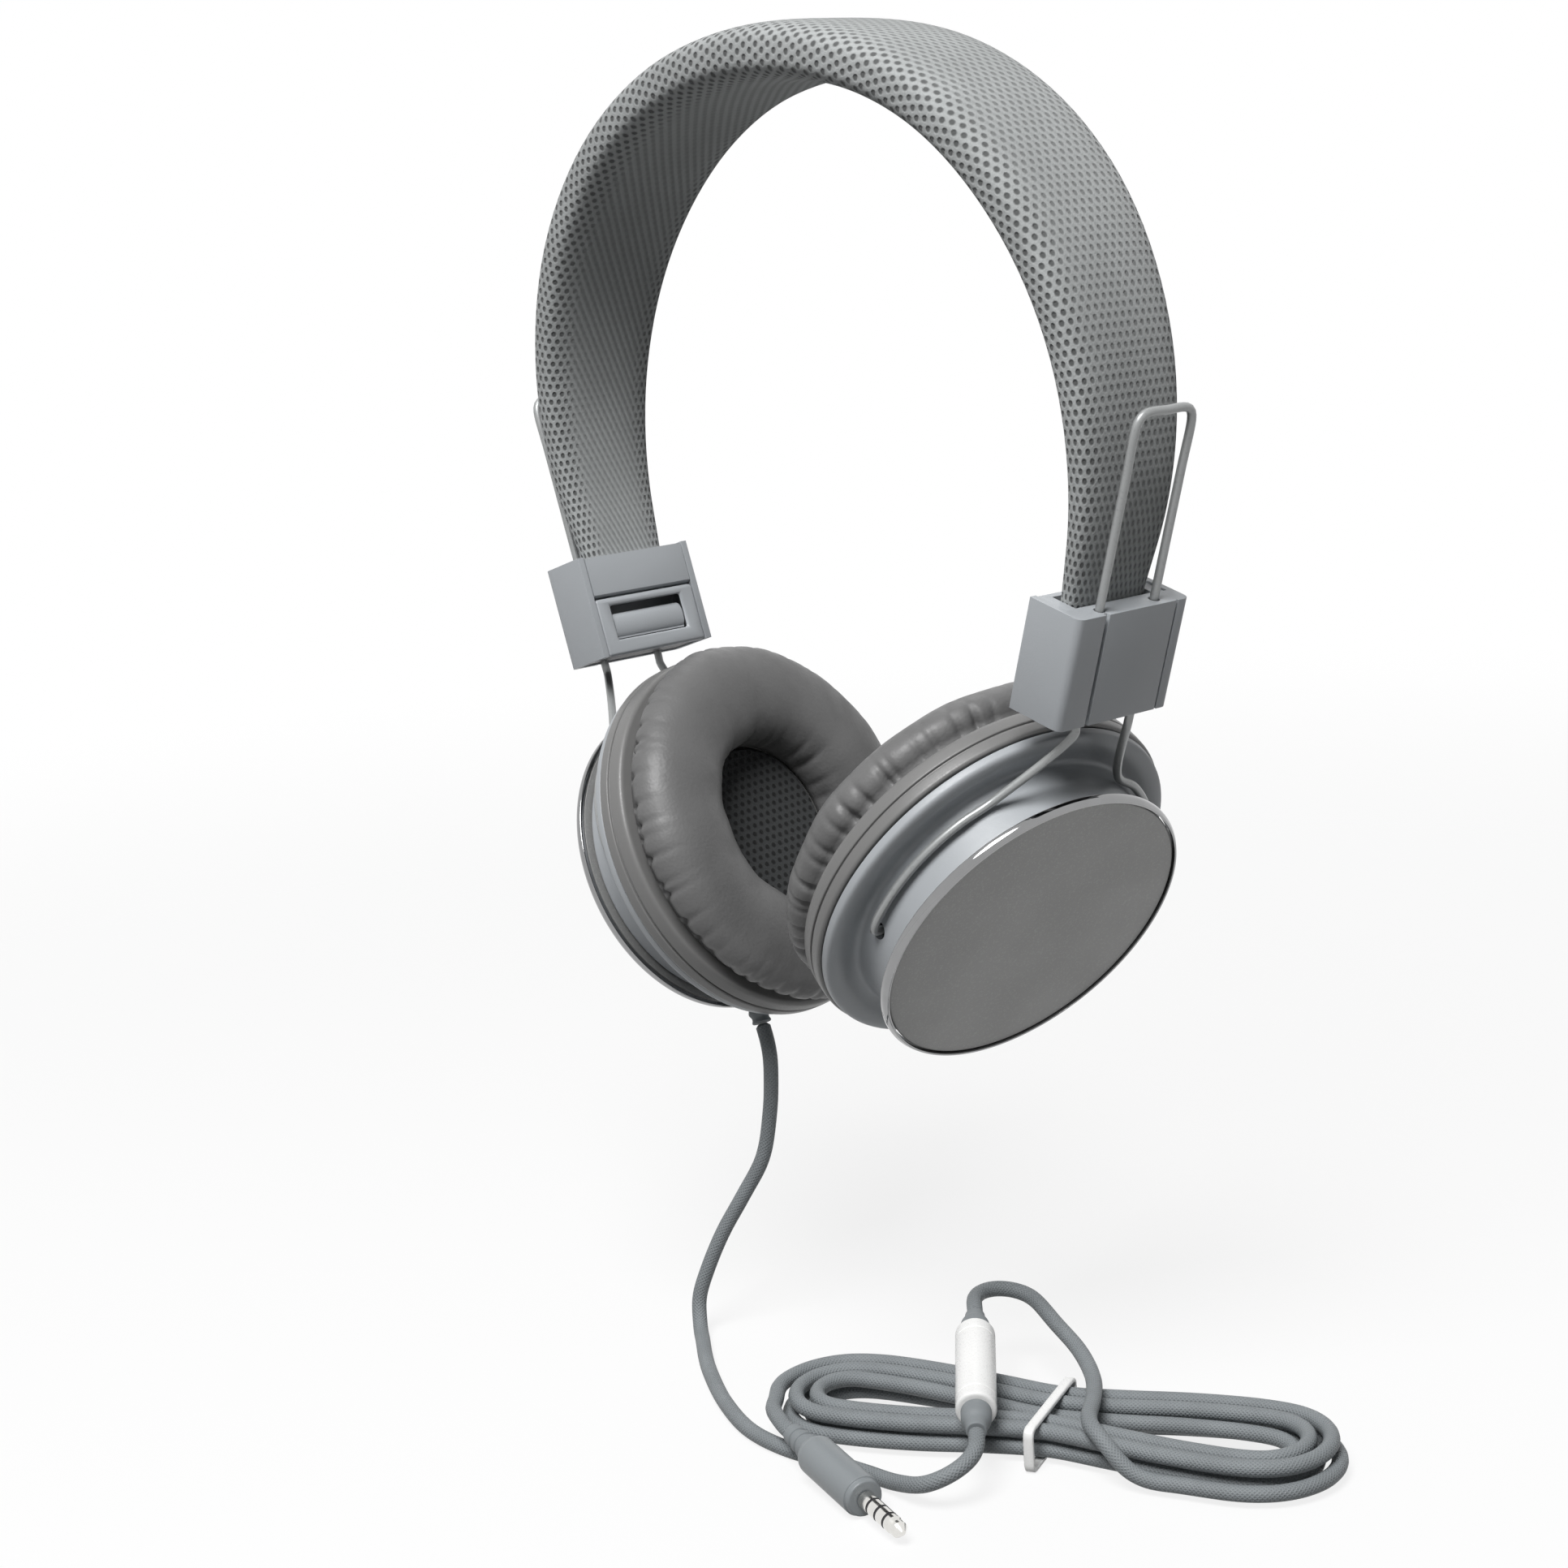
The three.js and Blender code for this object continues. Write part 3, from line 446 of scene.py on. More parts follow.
def finish(name, tone, roughness, plain):
    """A material with a Principled shader, whose sockets in `plain` hold one number all over."""
    material = bpy.data.materials.new(name)
    material.use_nodes = True
    shader = material.node_tree.nodes["Principled BSDF"]
    fill(shader, {"Base Color": (*tone, 1), "Roughness": roughness, "Metallic": 0.0} | plain)
    return material, material.node_tree, shader


def place_on_object(tree):
    """Object coordinates, read from one node in each tree."""
    node = tree.nodes.get("Texture Coordinate") or tree.nodes.new("ShaderNodeTexCoord")
    return Number(node.outputs["Object"])


def parts_of(tree, vector):
    """X, Y and Z of a vector."""
    first = add(tree, "ShaderNodeSeparateXYZ", {"Vector": vector})
    return [Number(socket) for socket in first.socket.node.outputs]


def chart_of(tree):
    """U and V of the piece's own chart."""
    return parts_of(tree, add(tree, "ShaderNodeUVMap", uv_map="Surface"))[:2]


def noise(tree, scale, detail=3.0):
    inputs = {"Vector": place_on_object(tree), "Scale": scale, "Detail": detail, "Roughness": 0.5}
    return add(tree, "ShaderNodeTexNoise", inputs, "Fac")


def cells(tree, scale, output, inputs=None, **options):
    inputs = {"Vector": place_on_object(tree), "Scale": scale} | (inputs or {})
    return add(tree, "ShaderNodeTexVoronoi", inputs, output, **options)


def tint(tone, by):
    return (*(min(1, c * by) for c in tone), 1)


def blend_tone(tree, share, a, b):
    return add(tree, "ShaderNodeMix", {0: share, 6: a, 7: b}, 2, data_type="RGBA")


def clouded(tree, field, tone, dark, light):
    """The tone, between a darker and a lighter tint, after a field of noise."""
    return blend_tone(tree, field.spread(0.3, 0.7), tint(tone, dark), tint(tone, light))


def relief(shader, height, distance, strength=1.0, below=None):
    """Raises the surface by `height` times `distance` in metres, over the relief `below`."""
    inputs = {"Height": height, "Distance": distance, "Strength": strength}
    bump = add(shader.id_data, "ShaderNodeBump", inputs | ({"Normal": below} if below else {}))
    fill(shader, {"Normal": bump})
    return bump


def from_hole(u, v):
    """Steps across and down from the nearest hole, in a cloth whose rows of holes are staggered."""
    odd = v.math("FLOOR").math("FLOORED_MODULO", 2.0) * 0.5
    return (u + odd).math("FRACT") - 0.5, v.math("FRACT") - 0.5


def length_of(tree, vector):
    return add(tree, "ShaderNodeVectorMath", {0: vector}, "Value", operation="LENGTH")


def distance_of(tree, across, down):
    return length_of(tree, add(tree, "ShaderNodeCombineXYZ", {"X": across, "Y": down}))


def band_cloth(tone):
    """Open mesh cloth on the cover's chart, where U counts columns and V rows of oval holes.

    The holes fade on the inner face, where ribs along their diagonal rows show instead.
    """
    material, tree, shader = finish(
        "band_cloth", tone, 0.85, {"Sheen Weight": 0.2, "Sheen Roughness": 0.5, "Specular IOR Level": 0.25})
    u, v = chart_of(tree)
    round_band = TURN / bpy.context.scene.headset_sizes.cloth_column
    turn, outward = (u * (2 * round_band)).math("COSINE"), (u * round_band).math("SINE")
    edge = turn.spread(-0.3, 0.8).math("MAXIMUM", outward.spread(-0.3, 0.3, 0.1, 0.55))
    across, down = from_hole(u, v)
    hole = distance_of(tree, across / 0.3, down / 0.38).spread(0.5, 1.2, 1.0, 0.0) * edge
    slant = ((u + v * 0.5) * TURN).math("SINE")
    ribs = slant.spread(-1.0, 0.6, 1.0, 0.0) * edge.spread(0.0, 1.0, 0.85, 0.25)
    yarn = noise(tree, 2600.0, 2.0)
    cloth = clouded(tree, noise(tree, 55.0), tone, 0.93, 1.07)
    cloth = blend_tone(tree, yarn.spread(0.35, 0.7, 0.0, 0.35), cloth, tint(tone, 0.72))
    cloth = blend_tone(tree, ribs, cloth, tint(tone, 0.62))
    fill(shader, {"Base Color": blend_tone(tree, hole * 0.85, cloth, tint(tone, 0.14))})
    height = slant * edge.spread(0.0, 1.0, 0.3, 0.06) - hole
    relief(shader, height + yarn * 0.25, 0.00035, 0.8)
    return material


def grained_leatherette(tone):
    """Soft leatherette: a pebble grain from cells, over fine creases that vary its gloss."""
    material, tree, shader = finish(
        "grained_leatherette", tone, 0.5,
        {"Coat Weight": 0.06, "Coat Roughness": 0.35, "Specular IOR Level": 0.45})
    pebble = cells(tree, 1500.0, "Distance", {"Smoothness": 0.6}, feature="SMOOTH_F1")
    crease = noise(tree, 260.0, 4.0)
    fill(shader, {"Base Color": clouded(tree, noise(tree, 38.0, 2.0), tone, 0.92, 1.1),
                  "Roughness": crease.spread(0.3, 0.75, 0.44, 0.6)})
    relief(shader, pebble, 0.00008, 0.5, relief(shader, crease, 0.00018, 0.35))
    return material


def moulded_plastic(name, tone, roughness=0.42, grain=0.5):
    """Fine spark-eroded grain of a mould, with faint clouding."""
    material, tree, shader = finish(name, tone, roughness, {"Specular IOR Level": 0.5})
    fine = noise(tree, 3200.0, 2.0)
    fill(shader, {"Base Color": clouded(tree, noise(tree, 24.0), tone, 0.96, 1.04),
                  "Roughness": fine.spread(0.3, 0.7, roughness - 0.05, roughness + 0.07)})
    relief(shader, fine, 0.00004, grain)
    return material


def satin_cap(tone):
    """Satin lacquer with a very fine metal fleck."""
    material, tree, shader = finish(
        "satin_cap", tone, 0.42, {"Metallic": 0.25, "Coat Weight": 0.1, "Coat Roughness": 0.3})
    lit = parts_of(tree, cells(tree, 3600.0, "Color"))[0]
    fleck = blend_tone(tree, lit.spread(0.75, 1.0, 0.0, 0.4), (*tone, 1), tint(tone, 1.5))
    fill(shader, {"Base Color": fleck, "Roughness": noise(tree, 60.0).spread(0.3, 0.7, 0.38, 0.47)})
    relief(shader, lit, 0.00002, 0.25)
    return material


def plating(name, tone, roughness, swirl):
    """Bright plating with faint polishing marks in its gloss."""
    material, tree, shader = finish(name, tone, roughness, {"Metallic": 1.0})
    marks = noise(tree, swirl, 4.0)
    fill(shader, {"Base Color": clouded(tree, marks, tone, 0.95, 1.0),
                  "Roughness": marks.spread(0.3, 0.7, roughness * 0.8, roughness * 1.3)})
    relief(shader, marks, 0.00001, 0.15)
    return material


def painted_wire(tone):
    """Thick grey coat on spring wire, with slight waves along it."""
    material, tree, shader = finish(
        "painted_wire", tone, 0.34, {"Metallic": 0.35, "Coat Weight": 0.2, "Coat Roughness": 0.2})
    wave, speck = noise(tree, 180.0, 2.0), noise(tree, 1500.0, 2.0)
    coat = blend_tone(tree, speck.spread(0.55, 0.75, 0.0, 0.5), (*tone, 1), tint(tone, 0.7))
    fill(shader, {"Base Color": coat, "Roughness": wave.spread(0.3, 0.7, 0.28, 0.42)})
    relief(shader, wave, 0.00008, 0.3)
    return material


def braided_jacket(tone):
    """Two sets of fine slanted threads crossing on the lead's own chart, in millimetres."""
    material, tree, shader = finish("braided_jacket", tone, 0.5, {"Specular IOR Level": 0.3})
    u, v = chart_of(tree)
    pitch = 0.84
    one, two = ((way * (TURN / pitch)).math("SINE") for way in (u + v, u - v))
    weave = one.math("MAXIMUM", two)
    base = clouded(tree, noise(tree, 120.0), tone, 0.94, 1.06)
    thread = blend_tone(tree, weave.spread(-0.6, 0.6, 0.45, 0.0), base, tint(tone, 0.55))
    fill(shader, {"Base Color": thread})
    relief(shader, weave, 0.00012, 0.5)
    return material


def speaker_cloth(tone):
    """Dark open cloth over the speaker, on a chart in millimetres: staggered rows of holes."""
    material, tree, shader = finish(
        "speaker_cloth", tone, 0.9, {"Sheen Weight": 0.1, "Specular IOR Level": 0.2})
    u, v = chart_of(tree)
    column, row = 2.1, 1.7
    hole = distance_of(tree, *from_hole(u / column, v / row)).spread(0.18, 0.42, 1.0, 0.0)
    fill(shader, {"Base Color": blend_tone(tree, hole, tint(tone, 1.25), tint(tone, 0.25))})
    relief(shader, noise(tree, 1800.0) - hole, 0.0002, 0.6)
    return material


_made = {}


def material_of(kind):
    """Each finish is made once and shared by its pieces."""
    if kind not in _made:
        tones = bpy.context.scene.headset_colours
        makers = {
            "cloth": lambda: band_cloth(tones.cloth),
            "leatherette": lambda: grained_leatherette(tones.leatherette),
            "moulding": lambda: moulded_plastic("grey_moulding", tones.moulding),
            "dark": lambda: moulded_plastic("dark_moulding", (0.018, 0.018, 0.02), 0.5),
            "cap": lambda: satin_cap(tones.cap),
            # The chrome's colour is darkened to 0.3 as a painted dark reflection, because the surround shows
            # only white to glossy rays.
            "chrome": lambda: plating("chrome_with_painted_dark_reflection", (0.3, 0.302, 0.305), 0.06, 300.0),
            "flange": lambda: moulded_plastic("warm_moulding", (0.175, 0.174, 0.172), 0.4),
            "steel": lambda: plating("spring_steel", (0.42, 0.43, 0.44), 0.3, 900.0),
            "plug": lambda: plating("plug_plating", (0.78, 0.77, 0.74), 0.16, 700.0),
            "wire": lambda: painted_wire(tones.paint),
            "jacket": lambda: braided_jacket(tones.jacket),
            "rubber": lambda: moulded_plastic("grey_rubber", tint(tones.jacket, 0.95)[:3], 0.6, 0.8),
            "capsule": lambda: moulded_plastic("white_capsule", tones.capsule, 0.3, 0.2),
            "barrel": lambda: moulded_plastic("plug_barrel_grey", tint(tones.jacket, 1.05)[:3], 0.38, 0.4),
            "ear_cloth": lambda: speaker_cloth((0.04, 0.042, 0.043)),
        }
        _made[kind] = makers[kind]()
    return _made[kind]


# ---- Headband ------------------------------------------------------------------------------
def band_cover(name, start, end):
    """The cover's surface, with a squared oval, |y/w|^3.5 + |t/h|^3.5 = 1, across its line.

    Its width and thickness shrink with the square of the distance from the crown. Slow waves of
    up to 0.2 mm stand for the foam under the cloth. Both ends are drawn in and closed.
    """
    sizes = bpy.context.scene.headset_sizes
    station, drawn_in, squareness = 1.6, 0.9, 3.5
    d = np.linspace(start, end, max(8, round(abs(end - start) / station)) + 1)
    stations = np.concatenate([d[:1], d, d[-1:]])
    shrink = np.concatenate([[drawn_in], np.ones(len(d)), [drawn_in]])
    share = np.minimum(np.abs(stations) / (BAND_LENGTH - SEAT_DEPTH - GAP), 1) ** 2
    (w0, t0), (w1, t1) = BAND_SECTION
    width, thick = w0 + (w1 - w0) * share, t0 + (t1 - t0) * share
    a = np.linspace(0, TURN, 2 * sizes.cloth_column, endpoint=False)
    across, through = (np.sign(f) * np.abs(f) ** (2 / squareness) for f in (np.cos(a), np.sin(a)))
    point, out = band_line(stations)
    swell = 0.12 * np.sin(stations / 9.0)[:, None] * np.sin(2 * a + 0.6)
    swell = swell + 0.1 * np.sin(stations / 5.3 + 1)[:, None] * np.cos(3 * a)
    grow = shrink[:, None] * (1 + (1 - share)[:, None] * swell / 20)
    grid = point[:, None] + out[:, None] * (thick[:, None] / 2 * through * grow)[..., None]
    grid[..., 1] += width[:, None] / 2 * across * grow
    section = np.stack([across * w0 / 2, through * t0 / 2], 1)
    steps = distances(np.concatenate([section, section[:1]]))
    chart = np.stack(
        np.meshgrid(steps / steps[-1] * sizes.cloth_column, stations / (sizes.cloth_row / MM)), -1)
    piece = skin(name, grid, False, (point[0], point[-1]), chart, material_of("cloth"), 60)
    return piece


class HEADSET_OT_band(bpy.types.Operator):
    """Padded band in mesh cloth, in three stretches that meet 6.5 mm to each side of the crown"""

    bl_idname = "headset.band"
    bl_label = "Headband"

    def execute(self, context):
        left = band_cover("band_padding_left", -BAND_LENGTH, -SEAM)
        crown = band_cover("band_padding_crown", -SEAM, SEAM)
        right = band_cover("band_padding_right", SEAM, BAND_LENGTH)
        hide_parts("band_cover_left", "band_cover_crown_left")
        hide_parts("band_cover_right", "band_cover_crown_right")
        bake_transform(left)
        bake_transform(crown)
        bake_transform(right)
        return {"FINISHED"}


# ---- Folding blocks ------------------------------------------------------------------------
def dress(node, name, material, body, slot, cutters=()):
    """A copy of a moulded solid, its doubles merged and its flat faces joined.

    It is cut by any grooves, and its edges are rounded by a bevel.
    """
    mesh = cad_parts[node].data.copy()
    mesh.name = name
    shell = bmesh.new()
    shell.from_mesh(mesh)
    bmesh.ops.remove_doubles(shell, verts=shell.verts, dist=2e-6)
    bmesh.ops.dissolve_limit(shell, angle_limit=math.radians(1.5), verts=shell.verts, edges=shell.edges)
    shell.to_mesh(mesh)
    shell.free()
    mesh.materials.clear()
    mesh.materials.append(material_of(material))
    piece = placed(name, mesh)
    cut_by(piece, cutters)
    edge = piece.modifiers.new("Rounded edges", "BEVEL")
    edge.width = bpy.context.scene.headset_sizes.edge_round
    edge.segments, edge.limit_method, edge.angle_limit = 3, "ANGLE", math.radians(42)
    edge.use_clamp_overlap = True
    settle(piece, cutters)
    return fit(piece, body, slot, node)


def seam_cutter(name, side, y, wide, deep):
    """A box down the block's outer face, in the block's own axes."""
    face, half, beyond = BLOCK_DEPTH / 2, BLOCK_HEIGHT / 2 + 1, 1
    (x0, x1), (y0, y1) = (face - deep, face + beyond), (y - wide / 2, y + wide / 2)
    ring = np.array([[x0, y0], [x1, y0], [x1, y1], [x0, y1]])
    grid = np.stack([np.column_stack([ring, np.full(4, z)]) for z in (-half, half)])
    turn = block_turn(side)
    return skin(name, moved(grid, turn), poles=moved(grid.mean(1), turn))


def block_catch(side):
    """The curved catch in the plate's window, across the window's width.

    Its front is half an oval that bulges into the window, x = -1.25 sqrt(1 - (2t - 1)^2), and
    is carried down to the window's lower edge.
    """
    inner = -BLOCK_DEPTH / 2
    low, high, bulge, soft = WINDOW_LOW + 0.25, -1.85, 1.25, 0.25
    back, foot = inner + PANEL + GAP + 2.6, inner + PANEL - 0.1
    t = np.linspace(0, 1, 22)
    swell = np.sqrt(np.clip(1 - (2 * t - 1) ** 2, 0, 1))
    front = np.stack([inner + PANEL + 0.5 - bulge * swell, low + (high - low) * t], 1)
    outline = np.concatenate([front, [[back, high], [back, -6.4], [foot, -6.6], [foot, low]]])
    half = WINDOW_WIDTH / 2 - GAP
    y = np.array([-half, -half + soft, half - soft, half])
    centre = outline.mean(0)
    ring = centre + (outline - centre)[None] * np.array([0.93, 1, 1, 0.93])[:, None, None]
    grid = np.stack([ring[..., 0], np.broadcast_to(y[:, None], ring.shape[:2]), ring[..., 1]], -1)
    turn = block_turn(side)
    poles = moved(np.array([[centre[0], end, centre[1]] for end in (-half, half)]), turn)
    return skin(f"block_click_{side}", moved(grid, turn), False, poles, None, material_of("moulding"), 50)


class HEADSET_OT_blocks(bpy.types.Operator):
    """Band ends, folding housings with their seams, hinge plates and the small parts in them"""

    bl_idname = "headset.blocks"
    bl_label = "Folding blocks"

    def execute(self, context):
        for side in SIDES:
            upper, front = ("limb_right", -1) if side == "right" else ("headband", 1)
            fold = f"housing_{side}"
            seams = [seam_cutter(f"seam_{side}_wide", side, front * LEG_SPACING / 2, 1.0, 0.85),
                     seam_cutter(f"seam_{side}_fine", side, -front * 11.6, 0.5, 0.4)]
            dress(f"fold_housing_{side}", f"block_housing_{side}", "moulding", fold, "grey_plastic", seams)
            dress(f"hinge_plate_{side}", f"block_plate_{side}", "moulding", fold, "grey_plastic")
            fit(block_catch(side), fold, "grey_plastic", f"click_plate_{side}")
            dress(f"wire_guide_{side}", f"block_guide_{side}", "dark", fold, "dark_plastic")
            dress(f"band_end_{side}", f"block_band_end_{side}", "moulding", upper, "grey_plastic")
        return {"FINISHED"}


# ---- Wire yokes ----------------------------------------------------------------------------
def yoke_line(side):
    """The wire's middle line: a loop above the block, two legs down through it, arms round the
    cup's waist and ends turned into the drum."""
    block, cup = block_turn("right"), shift(*PIVOT) @ turning("Z", toe_of(side)) @ turning("Y", ARM_TILT)
    around = DRUM + ARM_CLEAR + WIRE_RADIUS
    wire_x = BLOCK_DEPTH / 2 - WIRE_FROM_FACE
    top, low, half = BLOCK_HEIGHT / 2 + LOOP_HEIGHT, -BLOCK_HEIGHT / 2, LEG_SPACING / 2

    def half_line(s):
        a = np.radians([10, 45, 80])
        corner = [s * (half - LOOP_CORNER + LOOP_CORNER * np.sin(a)),
                  top - LOOP_CORNER + LOOP_CORNER * np.cos(a)]
        z = [top - 12, BLOCK_HEIGHT / 2, 0, low + 2, low - WIRE_RADIUS, low - LEG_END]
        y, z = np.append(corner[0], [s * half] * len(z)), np.append(corner[1], z)
        b = np.radians([ARM_RISE, 40, 52, 64, 76, 86, 90, 90, 90])
        r = np.array([around] * 6 + [around - PIN_BEND / 3, around - PIN_BEND, DRUM - PIVOT_REACH])
        arm = np.stack([np.zeros(len(b)), s * np.sin(b) * r, np.cos(b) * r], 1)
        return np.concatenate([moved(np.stack([np.full(len(y), wire_x), y, z], 1), block), moved(arm, cup)])

    middle = moved(np.array([[wire_x, 0, top]]), block)
    line = np.concatenate([half_line(-1)[::-1], middle, half_line(1)])
    return moved(evenly(spline(line, 24), 0.9), side_turn(side))


class HEADSET_OT_yokes(bpy.types.Operator):
    """Sprung wire yokes that slide through the blocks and carry the cups"""

    bl_idname = "headset.yokes"
    bl_label = "Wire yokes"

    def execute(self, context):
        for side in SIDES:
            piece = tube(f"yoke_wire_{side}", yoke_line(side), WIRE_RADIUS, 20, material_of("wire"))
            fit(piece, f"yoke_{side}", "wire_paint", f"wire_yoke_{side}")
        return {"FINISHED"}


# ---- Ear cups ------------------------------------------------------------------------------
def pin_cutter(name, side, y):
    """A round hole's cutter along the cup's pivot axis, through the drum's wall."""
    radius = 1.8
    line = np.array([[0, y * (DRUM + reach), 0] for reach in (-3.2, -1, 1.5)])
    return tube(name, moved(line, cup_turn(side)), radius, 24, ends=0.0)


def shell_profile():
    """The drum, a valley beside it and the dish's raised shoulder, rounded down to its lip."""
    lip, wall, valley, shoulder = FLANGE - 0.6, 1.6, DRUM_BACK - 2.45, DRUM_BACK - 1.35
    corners = [
        (DRUM_FRONT, 0), (DRUM_FRONT, DRUM), (DRUM_BACK, DRUM), (valley + 0.1, DRUM + 0.5),
        (valley, DRUM + 2.2), (shoulder + 0.1, lip - 2.7), (shoulder - 0.4, lip - 0.2),
        (DISH_END + 0.6, lip), (DISH_END, lip), (DISH_END, lip - wall), (shoulder - wall, lip - 2.7),
        (valley - 1.3, DRUM + 2.2), (valley - 1.1, DRUM), (DRUM_BACK - wall, DRUM - wall),
        (DRUM_FRONT - wall, DRUM - wall), (DRUM_FRONT - wall, 0),
    ]
    reach = [0, 0.9, 0.8, 1.2, 1.5, 1.8, 1.1, 0.5, 0.2, 0.2, 0.4, 0.8, 0.5, 0.5, 0.5, 0]
    return rounded(corners, reach, 7, joined=False)


def flange_profile():
    """The flange with a fine groove round its edge, and the plate behind the cushion."""
    wall, seat, groove = 1.8, 20.3, FLANGE - 0.55
    plate = FLANGE_END + 1.6
    corners = [
        (FLANGE_FRONT, FLANGE - wall), (FLANGE_FRONT, FLANGE), (-8.35, FLANGE), (-8.45, groove),
        (-8.85, groove), (-8.95, FLANGE - 0.05), (FLANGE_END, FLANGE - 0.4), (FLANGE_END, seat - 2),
        (plate, seat - 2), (plate, FLANGE - wall),
    ]
    return rounded(corners, [0.2, 0.8, 0.35, 0.1, 0.1, 0.35, 1.1, 0.3, 0.3, 0.4], 6)


def cap_profile(back):
    """A slightly domed face with a rounded edge."""
    radius, thick = 32.3, 1.5
    corners = [(back, 0), (back, radius), (back + thick, radius), (back + 1.7, 20.0), (back + 1.78, 0)]
    return rounded(corners, [0, 0.1, 0.45, 12, 0], 8, joined=False)


def bright_ring_profile(back):
    """A narrow ring that stands a little above the cap and slopes outward."""
    inner, outer = 32.55, 33.5
    corners = [(back, inner), (back, outer), (back + 1.1, outer), (back + 2.0, 32.9), (back + 1.95, inner)]
    return rounded(corners, [0.1, 0.25, 0.45, 0.2, 0.1], 6)


def ear_cloth_profile(front):
    """A thin disc, domed outward, in the cushion's hole."""
    radius = 17.3
    corners = [(front, 0), (front, radius), (front - 0.75, radius), (front - 0.95, 9), (front - 1.0, 0)]
    return rounded(corners, [0, 0.1, 0.3, 6, 0], 8, joined=False)


def ring_of_cushion(side):
    """The cushion's outline is a closed smooth curve, crowned on its face.

    Pleats are narrow valleys at uneven angles, deepest at the sewn edge and fading as
    exp(-(distance / 4.8 mm)^2). Smaller ones gather into the hole and fade as
    exp(-(distance / 4 mm)^1.5). Slow waves keep the face from being a perfect ring.
    """
    sizes = bpy.context.scene.headset_sizes
    back = FLANGE_END - GAP
    hole, rim = CUSHION_HOLE, CUSHION
    outline = np.array([
        (back, hole + 0.8), (back, (hole + rim) / 2), (back, rim - CUSHION_PINCH - 0.4),
        (back - 1.1, rim - CUSHION_PINCH), (back - 2.6, rim - 0.7), (back - 4.8, rim),
        (back - 7.6, rim - 0.9), (back - 10, rim - 3.2), (back - 11.6, rim - 6.6),
        (back - CUSHION_DEPTH, rim - 10.8),
        (back - 11.6, hole + 6.2), (back - 10, hole + 2.8), (back - 7.4, hole + 0.7), (back - 4, hole),
    ])
    sewn_edge, hole_edge = outline[3], outline[-1]
    profile = evenly(spline(outline, 10, joined=True), 1.0)
    middle = np.array([back - CUSHION_DEPTH / 2, (rim + hole) / 2])
    tangent = np.gradient(profile, axis=0)
    normal = np.stack([tangent[:, 1], -tangent[:, 0]], 1)
    normal /= np.linalg.norm(normal, axis=1, keepdims=True)
    normal *= np.sign(((profile - middle) * normal).sum(1).mean())
    dice = np.random.default_rng(11 if side == "right" else 23)
    depth = sizes.pleat_depth / MM

    def valleys(angle, count, width):
        at = (np.arange(count) + dice.uniform(-0.36, 0.36, count)) * TURN / count
        deep = dice.uniform(0.3, 1.0, count)
        off = (angle[..., None] - at + math.pi) % TURN - math.pi
        return (deep * np.exp(-((off / width) ** 2))).sum(-1)

    def fading(edge, reach, sharpness, where):
        away = np.linalg.norm(profile - edge, axis=1) / reach
        return (np.exp(-(away**sharpness)) * where)[:, None]

    def shape(x, r, a):
        loose = profile[:, 0] < back - 0.4
        at_seam = fading(sewn_edge, 4.8, 2, loose & (profile[:, 1] > 30))
        outer = valleys(a[0], sizes.pleat_count, 0.021) * at_seam
        inner = 0.45 * valleys(a[0], sizes.pleat_count // 2, 0.05) * fading(hole_edge, 4.0, 1.5, loose)
        free = np.clip((back - profile[:, 0]) / 3.0, 0, 1)[:, None]
        slow = 0.16 * np.sin(5 * a + 1.0) + 0.12 * np.sin(9 * a + 2.1) + 0.1 * np.sin(14 * a)
        push = free * slow * 0.8 - depth * outer - depth * inner - 0.15 * free
        return x + push * normal[:, :1], r + push * normal[:, 1:]

    return lathe(f"cushion_{side}", profile, cup_turn(side), 600, material_of("leatherette"), shape, 70)


class HEADSET_OT_cups(bpy.types.Operator):
    """Moulded shells, satin caps in bright rings, and flanges"""

    bl_idname = "headset.cups"
    bl_label = "Ear cups"

    def execute(self, context):
        back = DRUM_FRONT + GAP
        kinds = (("cup_moulding", shell_profile(), 192, "moulding", 38, "grey_plastic", "cup_shell"),
                 ("cup_cap", cap_profile(back), 192, "cap", 38, "satin_grey", "cap_face"),
                 ("cup_bright_ring", bright_ring_profile(back), 256, "chrome", 50, "chrome", "trim_ring"),
                 ("cup_flange", flange_profile(), 192, "flange", 38, "grey_plastic", "baffle_ring"))
        for side in SIDES:
            for name, profile, steps, material, sharp, slot, node in kinds:
                piece = lathe(
                    f"{name}_{side}", profile, cup_turn(side), steps, material_of(material), None, sharp)
                if name == "cup_moulding":
                    cutters = [pin_cutter(f"pin_hole_{side}_{k}", side, y) for k, y in enumerate((-1, 1))]
                    cut_by(piece, cutters)
                    settle(piece, cutters)
                fit(piece, f"cup_{side}", slot, f"{node}_{side}")
        return {"FINISHED"}


class HEADSET_OT_cushions(bpy.types.Operator):
    """Gathered leatherette ring cushions with dark cloth over the speakers"""

    bl_idname = "headset.cushions"
    bl_label = "Ear cushions"

    def execute(self, context):
        disc = ear_cloth_profile(FLANGE_END - GAP)
        for side in SIDES:
            cushion = fit(ring_of_cushion(side), f"cup_{side}", "leatherette", f"ear_cushion_{side}")
            cloth = lathe(f"ear_cloth_{side}", disc, cup_turn(side), 96, material_of("ear_cloth"))
            fit(cloth, f"cup_{side}", "ear_cloth", f"ear_mesh_{side}")
        return {"FINISHED"}


